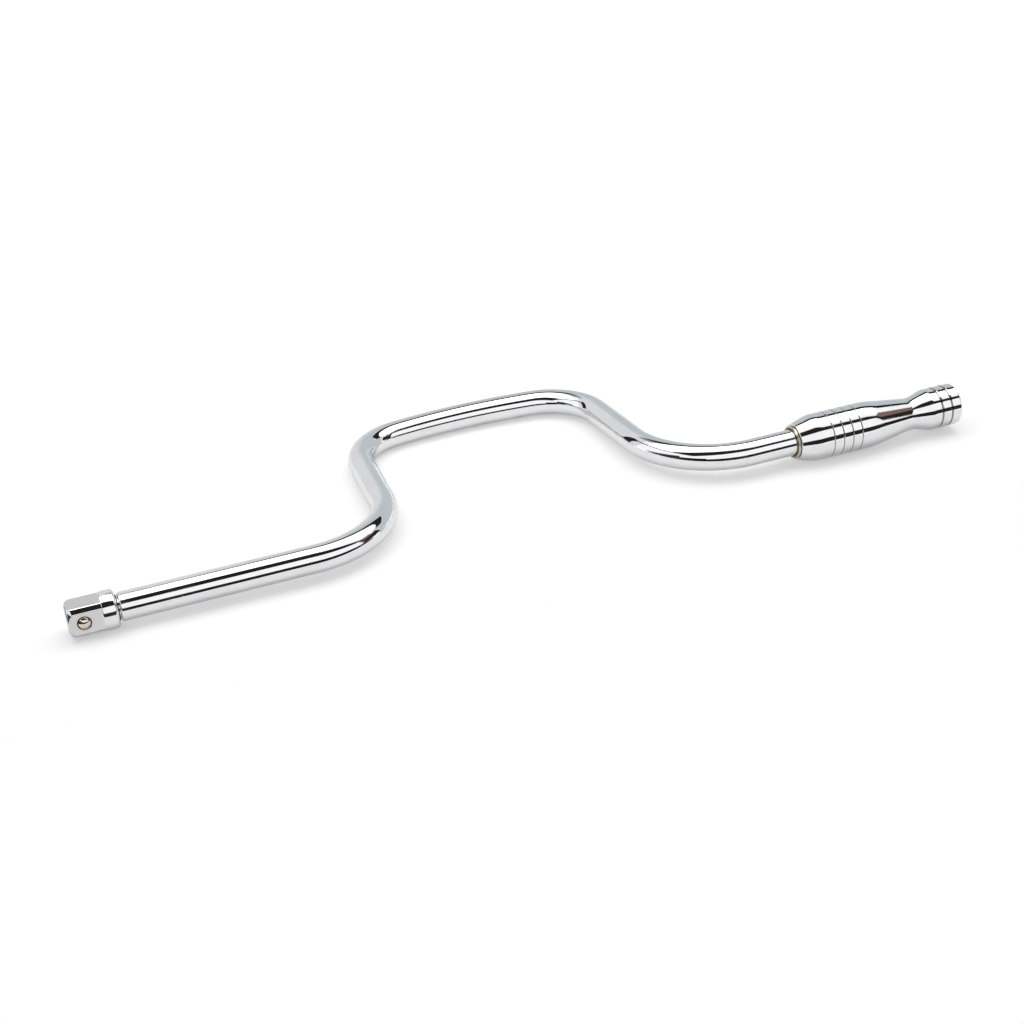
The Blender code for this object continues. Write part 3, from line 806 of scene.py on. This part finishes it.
# %% [markdown]
# ## Lathe rings
#
# A turning tool leaves a very fine screw thread, which shows as rings. One measure serves a shaft and
# a face alike: the distance along the axis plus the distance from it. A little noise keeps the rings
# from looking printed.

# %% Lathe group
DRIFTS_PER_METRE = 900.0
DRIFT_RADIANS = 6.0

lathe, lathe_in, lathe_out = new_group(
    "lathe rings",
    [("Pitch", 0.0004), ("Depth", 0.000002)],
    [("Height", "NodeSocketFloat"), ("Ring", "NodeSocketFloat")],
)
lathe_axes = own_axes(lathe)
travel = calc(lathe, "ADD", lathe_axes["X"], from_axis(lathe, lathe_axes))
drift = lathe.nodes.new("ShaderNodeTexNoise")
drift.noise_dimensions = "1D"
feed(lathe, drift.inputs["W"], calc(lathe, "MULTIPLY", travel, DRIFTS_PER_METRE))
phase = calc(lathe, "MULTIPLY", calc(lathe, "DIVIDE", travel, lathe_in["Pitch"]), FULL_TURN)
phase = calc(lathe, "MULTIPLY_ADD", drift.outputs["Fac"], DRIFT_RADIANS, phase)
ring_wave = calc(lathe, "MULTIPLY_ADD", calc(lathe, "SINE", phase), 0.5, 0.5)
ring_share = calc(lathe, "MULTIPLY", ring_wave, drift.outputs["Fac"])
feed(lathe, lathe_out["Ring"], ring_share)
feed(lathe, lathe_out["Height"], calc(lathe, "MULTIPLY", ring_share, lathe_in["Depth"]))
print("group:", lathe.name)

# %% [markdown]
# ## Handling film
#
# Plated tools are oiled for storage and then handled. A thin film darkens the metal a little in
# soft-edged patches, and a few small specks stay where oil beaded up.

# %% Film group
PATCHES_PER_METRE = 110
PATCH_DETAIL = 5
PATCH_EDGE = (0.4, 0.7)
BEADS_PER_METRE = 420
BEAD_EDGE = (0.08, 0.16)

film, film_in, film_out = new_group(
    "handling film",
    [("Clean", (0.93, 0.935, 0.95, 1)), ("Filmed", (0.87, 0.875, 0.89, 1)), ("Amount", 0.6)],
    [("Colour", "NodeSocketColor"), ("Speck", "NodeSocketFloat")],
)
patches = fade(film, noise(film, PATCHES_PER_METRE, PATCH_DETAIL), *PATCH_EDGE)
film_share = calc(film, "MULTIPLY", patches, film_in["Amount"])
feed(film, film_out["Colour"], mix_colour(film, film_share, film_in["Clean"], film_in["Filmed"]))
beads = film.nodes.new("ShaderNodeTexVoronoi")
feed(film, beads.inputs["Vector"], own_place(film))
feed(film, beads.inputs["Scale"], BEADS_PER_METRE)
near_bead = calc(film, "SUBTRACT", 1.0, fade(film, beads.outputs["Distance"], *BEAD_EDGE))
feed(film, film_out["Speck"], calc(film, "MULTIPLY", near_bead, film_share))
print("group:", film.name)

# %% [markdown]
# ## The stain round the ball
#
# Staking the hole bruises the plating round the ball, and the oil that creeps out turns it a warm
# straw colour. The head and the ball share this stain, so it is a group that measures the distance
# from a centre. Noise makes its edge ragged.

# %% Stain group
CREEPS_PER_METRE = 380
CREEP_DETAIL = 3
CREEP_REACH = 0.0012

stain, stain_in, stain_out = new_group(
    "straw stain",
    [("Centre", Vector((0, 0, 0))), ("Inner", 0.003), ("Outer", 0.005), ("Strength", 0.7)],
    [("Share", "NodeSocketFloat")],
)
stain_gap = distance(stain, own_place(stain), stain_in["Centre"])
creep = noise(stain, CREEPS_PER_METRE, CREEP_DETAIL)
ragged = calc(stain, "MULTIPLY_ADD", creep, CREEP_REACH, stain_gap)
stain_share = calc(stain, "SUBTRACT", 1.0, fade(stain, ragged, stain_in["Inner"], stain_in["Outer"]))
feed(stain, stain_out["Share"], calc(stain, "MULTIPLY", stain_share, stain_in["Strength"]))
print("group:", stain.name)

# %% [markdown]
# ## The plated metals
#
# Every metal here is a Principled BSDF with Metallic at 1. What differs is how it was finished: the
# bar was buffed by hand, the head was milled, the grip was turned, the ball was lapped and the bush
# was pressed from bronze. So each gets its own material from the same few groups.

# %% Material helpers
SPECK_ROUGHNESS = 0.2
RING_DEPTH = 0.000002
RING_ROUGHNESS = 0.05
TURNED_ROLL_LENGTH = 0.006
TURNED_ROLL_DEPTH = 0.000006


def new_metal(name):
    """An all-metal material: its node tree and its shader."""
    made = bpy.data.materials.new(name)
    made.use_nodes = True
    shader = made.node_tree.nodes["Principled BSDF"]
    shader.inputs["Metallic"].default_value = 1
    return made, made.node_tree, shader.inputs


def use_group(tree, group, **values):
    """Places a group with its own values and returns its outputs."""
    node = tree.nodes.new("ShaderNodeGroup")
    node.node_tree = group
    for label, value in values.items():
        feed(tree, node.inputs[label.replace("_", " ")], value)
    return node.outputs


def raise_surface(tree, shader, height):
    """Feeds a height in metres to the shader's normal."""
    bump = tree.nodes.new("ShaderNodeBump")
    bump.inputs["Distance"].default_value = 1
    feed(tree, bump.inputs["Height"], height)
    tree.links.new(bump.outputs["Normal"], shader["Normal"])


def buffed_metal(name, clean, filmed, amount, mirror, haze, roll_length, roll_depth):
    """Hand-buffed plating with a little film on it."""
    made, tree, shader = new_metal(name)
    buffing = use_group(
        tree, polish, Roll_Length=roll_length, Roll_Depth=roll_depth, Mirror=mirror, Haze=haze
    )
    handling = use_group(tree, film, Clean=clean, Filmed=filmed, Amount=amount)
    feed(tree, shader["Base Color"], handling["Colour"])
    rough = calc(tree, "MULTIPLY_ADD", handling["Speck"], SPECK_ROUGHNESS, buffing["Roughness"])
    feed(tree, shader["Roughness"], rough)
    raise_surface(tree, shader, buffing["Height"])
    print("material:", name)
    return made


def turned_metal(name, clean, filmed, amount, mirror, haze, pitch):
    """Metal as the lathe left it, buffed only lightly."""
    made, tree, shader = new_metal(name)
    buffing = use_group(
        tree, polish, Mirror=mirror, Haze=haze,
        Roll_Length=TURNED_ROLL_LENGTH, Roll_Depth=TURNED_ROLL_DEPTH,
    )
    rings = use_group(tree, lathe, Pitch=pitch, Depth=RING_DEPTH)
    handling = use_group(tree, film, Clean=clean, Filmed=filmed, Amount=amount)
    feed(tree, shader["Base Color"], handling["Colour"])
    rough = calc(tree, "MULTIPLY_ADD", rings["Ring"], RING_ROUGHNESS, buffing["Roughness"])
    feed(tree, shader["Roughness"], rough)
    raise_surface(tree, shader, calc(tree, "ADD", rings["Height"], buffing["Height"]))
    print("material:", name)
    return made


def paint_shade_under(made, band, shade_tone, *limits):
    """Paints shade on a turned piece within a soft distance of its axis, and between limits along it."""
    tree = made.node_tree
    colour = tree.nodes["Principled BSDF"].inputs["Base Color"]
    axes = own_axes(tree)
    shade_share = fade(tree, from_axis(tree, axes), *band)
    for start, end in limits:
        shade_share = calc(tree, "MULTIPLY", shade_share, fade(tree, axes["X"], start, end))
    feed(tree, colour, mix_colour(tree, shade_share, colour.links[0].from_socket, shade_tone))


# %% Chrome of the bar
CHROME = (0.93, 0.935, 0.95, 1)
CHROME_FILMED = (0.86, 0.865, 0.885, 1)
bar_chrome = buffed_metal(
    "buffed_chrome", CHROME, CHROME_FILMED,
    amount=0.6, mirror=0.03, haze=0.13, roll_length=0.012, roll_depth=0.00002,
)

# %% [markdown]
# ### Chrome of the head
#
# The flats were milled and only brushed by the wheel, so they are softer and greyer than the rest. A
# mask tells them apart: they lie in front of the collar and nearer to the axis than the corners. The
# straw stain lies on the front flat alone, because its centre is the ball's place there. The narrow
# neck behind the collar is coloured near black as painted shade.

# %% Head material
STRAW = (0.80, 0.62, 0.48, 1)
# Painted shade: the near-black colour of the narrow neck.
NECK_SHADE = (0.10, 0.09, 0.08, 1)
MILLED = (0.62, 0.64, 0.65, 1)
FLATS_HAZE = 0.06
FLATS_DULLNESS = 0.6
FLATS_SHY = 0.0002
NECK_SHY = 0.0001
flats_end = SQUARE_LENGTH - FLATS_SHY
neck_start = SQUARE_LENGTH + COLLAR_LENGTH + NECK_SHY

head_chrome, head_tree, head_shader = new_metal("milled_chrome")
head_axes = own_axes(head_tree)
before_collar = calc(head_tree, "LESS_THAN", head_axes["X"], flats_end)
head_reach = from_axis(head_tree, head_axes)
inside_corners = calc(head_tree, "LESS_THAN", head_reach, CORNER_RADIUS - EDGE_BREAK)
on_flats = calc(head_tree, "MULTIPLY", before_collar, inside_corners)
head_polish = use_group(head_tree, polish, Roll_Length=0.005, Roll_Depth=0.000008, Mirror=0.04, Haze=0.10)
head_rough = calc(head_tree, "MULTIPLY_ADD", on_flats, FLATS_HAZE, head_polish["Roughness"])
feed(head_tree, head_shader["Roughness"], head_rough)
head_film = use_group(head_tree, film, Clean=CHROME, Filmed=CHROME_FILMED, Amount=0.8)
head_stain = use_group(
    head_tree, stain, Centre=Vector((BALL_CENTRE.x, flat_y, 0)), Inner=0.0030, Outer=0.0054, Strength=0.6
)
dulled = calc(head_tree, "MULTIPLY", on_flats, FLATS_DULLNESS)
milled = mix_colour(head_tree, dulled, head_film["Colour"], MILLED)
stained = mix_colour(head_tree, head_stain["Share"], milled, STRAW)
# Painted shade: the neck behind the collar is coloured near black.
in_neck = calc(head_tree, "GREATER_THAN", head_axes["X"], neck_start)
feed(head_tree, head_shader["Base Color"], mix_colour(head_tree, in_neck, stained, NECK_SHADE))
raise_surface(head_tree, head_shader, head_polish["Height"])
print("material:", head_chrome.name)

# %% [markdown]
# ### Painted shade in the grooves
#
# Each groove's floor is coloured dark brown as painted shade, so it reads as a fine brown line even
# where the mirror round it is white. The mask is the distance from the axis: under the belly's radius,
# and along the belly alone. The knob gets the same with its own radius.

# %% Chrome of the grip and its cap
# Painted shade: the dark brown of the groove floors.
GROOVE_SHADE = (0.30, 0.27, 0.24, 1)
GROOVE_SHY = 0.00006
GROOVE_FULL = 0.00016


def groove_band(radius):
    """The fade that turns on just under a turned radius."""
    return radius - GROOVE_SHY, radius - GROOVE_FULL


def length_of_grooves(start, pitch, count, width):
    """The fades that start before the first groove and end after the last one."""
    end = start + pitch * (count - 1)
    return (start - width, start - width / 2 - WELD), (end + width, end + width / 2 + WELD)


grip_chrome = turned_metal(
    "turned_chrome", CHROME, CHROME_FILMED, amount=0.7, mirror=0.04, haze=0.12, pitch=0.0011
)
# Painted shade in the grooves of the belly and the knob.
for radius, run in ((BELLY_RADIUS, belly_grooves), (KNOB_RADIUS, knob_grooves)):
    paint_shade_under(grip_chrome, groove_band(radius), GROOVE_SHADE, *length_of_grooves(*run))
cap_chrome = turned_metal(
    "pressed_chrome", CHROME, CHROME_FILMED, amount=0.8, mirror=0.07, haze=0.16, pitch=0.0007
)

# %% [markdown]
# ### Ball steel, bronze and the hidden parts
#
# The ball is bearing steel, darker than chrome and stained by the same oil. A dark ring round its edge
# is painted shadow from the staked lip. The bushes are bronze with patches of oil film, painted dark
# near the bore as painted shade. The parts inside the grip never show until it is taken apart, but
# they still get the finish that they would have: spring steel, a ground washer and a blackened ring.

# %% Ball material
BALL_STEEL = (0.84, 0.76, 0.68, 1)
# Painted shadow: the dark colour of the ring round the ball's edge.
BALL_RIM_SHADOW = (0.07, 0.055, 0.04, 1)
BALL_SHADOW_EDGE = (0.0022, 0.0026)

ball_steel, ball_tree, ball_shader = new_metal("lapped_steel")
ball_polish = use_group(ball_tree, polish, Roll_Length=0.002, Roll_Depth=0.000001, Mirror=0.04, Haze=0.10)
feed(ball_tree, ball_shader["Roughness"], ball_polish["Roughness"])
ball_stain = use_group(
    ball_tree, stain, Centre=BALL_CENTRE - Y_AXIS * BALL_RADIUS, Inner=0.0005, Outer=0.0030, Strength=0.5
)
ball_flat = ball_tree.nodes.new("ShaderNodeVectorMath")
ball_flat.operation = "MULTIPLY"
feed(ball_tree, ball_flat.inputs[0], own_place(ball_tree))
feed(ball_tree, ball_flat.inputs[1], X_AXIS + Z_AXIS)
ball_reach = distance(ball_tree, ball_flat.outputs["Vector"], (BALL_CENTRE.x, 0, BALL_CENTRE.z))
# Painted shadow: the ball darkens towards its rim, where the staked lip overhangs it.
ball_shadowed = fade(ball_tree, ball_reach, *BALL_SHADOW_EDGE)
ball_worn = mix_colour(ball_tree, ball_stain["Share"], BALL_STEEL, STRAW)
ball_colour = mix_colour(ball_tree, ball_shadowed, ball_worn, BALL_RIM_SHADOW)
feed(ball_tree, ball_shader["Base Color"], ball_colour)
raise_surface(ball_tree, ball_shader, ball_polish["Height"])
print("material:", ball_steel.name)

# %% Bronze and hidden parts
BRONZE = (0.74, 0.68, 0.53, 1)
BRONZE_OILED = (0.46, 0.40, 0.28, 1)
# Painted shade: the dark colour near the bush's bore, where the bar meets it.
BUSH_BORE_SHADE = (0.13, 0.11, 0.07, 1)
BUSH_SHADE_WIDTH = 0.0006
SPRING_STEEL = (0.42, 0.41, 0.40, 1)
SPRING_OILED = (0.24, 0.22, 0.20, 1)
GROUND_STEEL = (0.60, 0.60, 0.61, 1)
BLACKENED = (0.045, 0.045, 0.05, 1)

bush_bronze = turned_metal(
    "oiled_bronze_bore_shade", BRONZE, BRONZE_OILED, amount=0.8, mirror=0.20, haze=0.38, pitch=0.0003
)
bush_shade_end = BAR_RADIUS + RUNNING_GAP + BUSH_SHADE_WIDTH
# Painted shade on the bronze near the bore; the patchy oil film above is the bronze's own.
paint_shade_under(bush_bronze, (bush_shade_end + RUNNING_GAP, bush_shade_end), BUSH_BORE_SHADE)
spring_steel = buffed_metal(
    "spring_steel", SPRING_STEEL, SPRING_OILED,
    amount=0.9, mirror=0.24, haze=0.42, roll_length=0.001, roll_depth=0.000002,
)
washer_steel = turned_metal(
    "ground_steel", GROUND_STEEL, SPRING_STEEL, amount=0.6, mirror=0.18, haze=0.30, pitch=0.0002
)
ring_steel = buffed_metal(
    "blackened_steel", BLACKENED, SPRING_OILED,
    amount=0.4, mirror=0.35, haze=0.55, roll_length=0.002, roll_depth=0.000002,
)

# %% Pieces
finish_piece("plated_bar", bent_bar(), bar_chrome, "brace", "chrome", "crank_bar")
finish_piece("plated_head", drive_head(), head_chrome, "brace", "chrome", "drive_head")
finish_piece("polished_ball", detent_ball(), ball_steel, "ball", "steel", "detent_ball")
finish_piece("plated_grip", grip_sleeve(), grip_chrome, "grip", "chrome", "grip_sleeve")
finish_piece("mouth_bush", mouth_bush(), bush_bronze, "grip", "bronze", "front_bush")
finish_piece("plated_cap", end_cap(), cap_chrome, "grip", "chrome", "end_cap")

# %% Materials on the solids that stay as they are
HIDDEN_FINISH = {
    "detent_spring": spring_steel,
    "rear_bush": bush_bronze,
    "thrust_washer": washer_steel,
    "retaining_ring": ring_steel,
}
for name, surface in HIDDEN_FINISH.items():
    mesh = bpy.data.objects[name].data
    mesh.materials.clear()
    mesh.materials.append(surface)
    print(f"{name}: {surface.name}")

# %% [markdown]
# ## A white table
#
# The tool lies on three places: its collar, the belly of its grip and the crown of its crank. So the
# table is turned by two small angles to touch all three. It stays a plain pale floor that keeps a soft
# shadow, and it fades into the white background. It ends a hand's width in front of the tool, where
# the picture is white anyway, because the real mirror shows a dark gap there.

# %% Table
TABLE_DROP = 0.0081
TABLE_SLOPE_ALONG = math.atan(0.0076)
TABLE_SLOPE_ACROSS = math.atan(0.0333)
TABLE_TOUCH = 0.016
TABLE_MIDDLE = 0.184
TABLE_FRONT = -0.060
TABLE_SIZE = 2.4
TABLE_COLOUR = (0.77, 0.77, 0.77, 1)
TABLE_ROUGHNESS = 0.6
TABLE_LIFT = 0.34
TABLE_MIRROR_LIFT = 0.13
TABLE_FADE = (0.25, 0.70)


def stage_card(name, surface, width, height, taper=0.0):
    """A flat card of the studio, which isn't part of the tool. Taper narrows its +X end."""
    bm = bmesh.new()
    bmesh.ops.create_grid(bm, x_segments=1, y_segments=1, size=0.5)
    bmesh.ops.scale(bm, verts=bm.verts, vec=(width, height, 1))
    for vert in bm.verts:
        if vert.co.x > 0:
            vert.co.y *= 1 - taper
    mesh = bpy.data.meshes.new(name)
    bm.to_mesh(mesh)
    bm.free()
    mesh.materials.append(surface)
    card = bpy.data.objects.new(name, mesh)
    bpy.context.scene.collection.objects.link(card)
    return card


def who_looks(tree):
    """Two masks: 1 for rays from the camera, and 1 for rays that metal or glass sends on."""
    rays = tree.nodes.new("ShaderNodeLightPath").outputs
    by_mirror = calc(tree, "MAXIMUM", rays["Is Glossy Ray"], rays["Is Transmission Ray"])
    return rays["Is Camera Ray"], by_mirror


table_paint = bpy.data.materials.new("white_table")
table_paint.use_nodes = True
table_tree = table_paint.node_tree
table_shader = table_tree.nodes["Principled BSDF"].inputs
table_shader["Base Color"].default_value = TABLE_COLOUR
table_shader["Roughness"].default_value = TABLE_ROUGHNESS
table_shader["Specular IOR Level"].default_value = 0
table_shader["Emission Color"].default_value = (1, 1, 1, 1)
table_back = TABLE_SIZE / 2 + TABLE_FRONT
table_reach = distance(table_tree, own_place(table_tree), (0, -table_back, 0))
far_off = fade(table_tree, table_reach, *TABLE_FADE)
eye_lift = calc(table_tree, "MULTIPLY_ADD", far_off, 1 - TABLE_LIFT, TABLE_LIFT)
by_eye, by_mirror = who_looks(table_tree)
eye_share = calc(table_tree, "MULTIPLY", eye_lift, by_eye)
lift = calc(table_tree, "MULTIPLY_ADD", by_mirror, TABLE_MIRROR_LIFT, eye_share)
feed(table_tree, table_shader["Emission Strength"], lift)

table = stage_card("white_table", table_paint, TABLE_SIZE, TABLE_SIZE)
table.matrix_world = (
    Matrix.Translation((TABLE_TOUCH, 0, -TABLE_DROP))
    @ Matrix.Rotation(TABLE_SLOPE_ACROSS, 4, "X")
    @ Matrix.Rotation(TABLE_SLOPE_ALONG, 4, "Y")
    @ Matrix.Translation((TABLE_MIDDLE, table_back, 0))
)
print("table slopes", round(math.degrees(TABLE_SLOPE_ACROSS), 2), "degrees across")

# %% [markdown]
# ## Light
#
# One large softbox hangs over the tool, and a plain white room fills in. The room is dimmer for the
# light that it gives than for what the eye and the metal see of it, so pale surfaces don't clip.

# %% Softbox and room
SOFTBOX_PLACE = (0.25, 0.10, 0.60)
SOFTBOX_WIDTH = 1.20
SOFTBOX_DEPTH = 0.46
SOFTBOX_WATTS = 2.6
ROOM_FILL = 0.5

softbox_lamp = bpy.data.lights.new("softbox", "AREA")
softbox_lamp.shape = "RECTANGLE"
softbox_lamp.size = SOFTBOX_WIDTH
softbox_lamp.size_y = SOFTBOX_DEPTH
softbox_lamp.energy = SOFTBOX_WATTS
softbox = bpy.data.objects.new("softbox", softbox_lamp)
softbox.location = SOFTBOX_PLACE
softbox.visible_camera = False
bpy.context.scene.collection.objects.link(softbox)

world = bpy.data.worlds.new("white_room")
bpy.context.scene.world = world
world.use_nodes = True
room = world.node_tree
room_light = room.nodes["Background"].inputs
room_light["Color"].default_value = (1, 1, 1, 1)
seen = calc(room, "MAXIMUM", *who_looks(room))
feed(room, room_light["Strength"], calc(room, "MULTIPLY_ADD", seen, 1 - ROOM_FILL, ROOM_FILL))
bpy.context.scene.view_settings.view_transform = "Standard"
print("room and softbox are lit")

# %% [markdown]
# ## Cards for the mirror
#
# Chrome has no look of its own: in an all-white room it would vanish. A photographer hangs dark cards
# out of the picture, and their reflections draw the black lines that make it read as metal. These
# stand where the lines in the photograph say: dark gaps in front of and behind the softbox, a low
# dark edge in front of the table, and dark corners. Two grey walls give the metal its soft blue-grey
# upper sides. All are seen by reflections only, so they change neither the light nor the background.

# %% Card helper
def hang_card(name, middle, width, height, colour, upright=True, turn=0, taper=0):
    """A card of one even tone that only mirrors see. Turn is in degrees, taper as before."""
    tone = bpy.data.materials.new(name)
    tone.use_nodes = True
    shader = tone.node_tree.nodes["Principled BSDF"].inputs
    shader["Base Color"].default_value = (0, 0, 0, 1)
    shader["Specular IOR Level"].default_value = 0
    shader["Emission Color"].default_value = (*colour, 1)
    shader["Emission Strength"].default_value = 1
    card = stage_card(name, tone, width, height, taper)
    card.rotation_euler = (QUARTER_TURN if upright else 0, 0, math.radians(turn))
    card.location = middle
    card.visible_camera = False
    card.visible_diffuse = False
    card.visible_transmission = False
    card.visible_volume_scatter = False
    card.visible_shadow = False
    return card


# %% A card whose tone changes along it
def blend_card(card, colour, *limits):
    """Fades a card's tone to another colour along its own X, and along its own Y if given."""
    tree = card.data.materials[0].node_tree
    tone = tree.nodes["Principled BSDF"].inputs["Emission Color"]
    axes = own_axes(tree)
    share = 1.0
    for axis, (start, end) in zip("XY", limits):
        share = calc(tree, "MULTIPLY", fade(tree, axes[axis], start, end), share)
    feed(tree, tone, mix_colour(tree, share, tuple(tone.default_value), (*colour, 1)))


# %% Cards
BLACK = (0.018, 0.015, 0.013)
BROWN = (0.21, 0.135, 0.115)
BLUE_BLACK = (0.030, 0.034, 0.045)
WALL_NEAR = (0.72, 0.725, 0.73)
WALL_FAR = (0.52, 0.565, 0.585)
GAP_GREY = (0.35, 0.36, 0.37)
GAP_HEIGHT = 0.59
CORNER_PLACE = 0.75

back_wall = hang_card("back_wall", (0.60, 0.85, 0.32), 4.0, 1.8, WALL_NEAR)
blend_card(back_wall, WALL_FAR, (-0.50, -0.15), (-0.32, -0.05))
hang_card("right_wall", (1.70, 0.30, 0.20), 0.80, 1.6, WALL_FAR, True, 90)
back_gap = hang_card("back_gap", (0.33, 0.46, GAP_HEIGHT), 0.60, 0.20, GAP_GREY, False, -4)
blend_card(back_gap, BLACK, (-0.25, -0.05))
hang_card("side_gap", (0.87, 0.33, GAP_HEIGHT), 0.64, 0.23, BLACK, False, -27)
hang_card("left_gap", (-0.375, 0.33, GAP_HEIGHT), 0.11, 1.15, BLACK, False, 5)
hang_card("front_gap", (0.40, -0.40, GAP_HEIGHT), 1.6, 0.57, BLACK, False, -4.5, 0.8)
hang_card("low_edge", (0.31, -0.40, 0), 2.8, 0.15, BLACK, True, -1)
right_corner = hang_card("right_corner", (CORNER_PLACE, -0.215, 0.235), 0.24, 0.37, BLACK, True, 90)
blend_card(right_corner, BROWN, (-0.055, -0.025), (0.005, 0.065))
hang_card("right_edge", (CORNER_PLACE, -0.07, 0.19), 0.11, 0.25, BLACK, True, 90)
hang_card("left_corner", (-0.49, 0.79, 0), 0.30, 1.6, BLACK, True, 44)
hang_card("front_corner", (-0.40, -0.595, 0.10), 0.58, 0.30, BLACK, True, 130)
hang_card("left_edge", (-0.45, -0.05, 0), 0.58, 0.60, BLUE_BLACK, True, 121, 0.67)
hang_card("left_floor", (-0.33, -0.08, -0.006), 0.62, 0.36, BLUE_BLACK, False)
hung = [item.name for item in bpy.data.objects if not item.visible_camera and item != softbox]
print("cards:", ", ".join(hung))
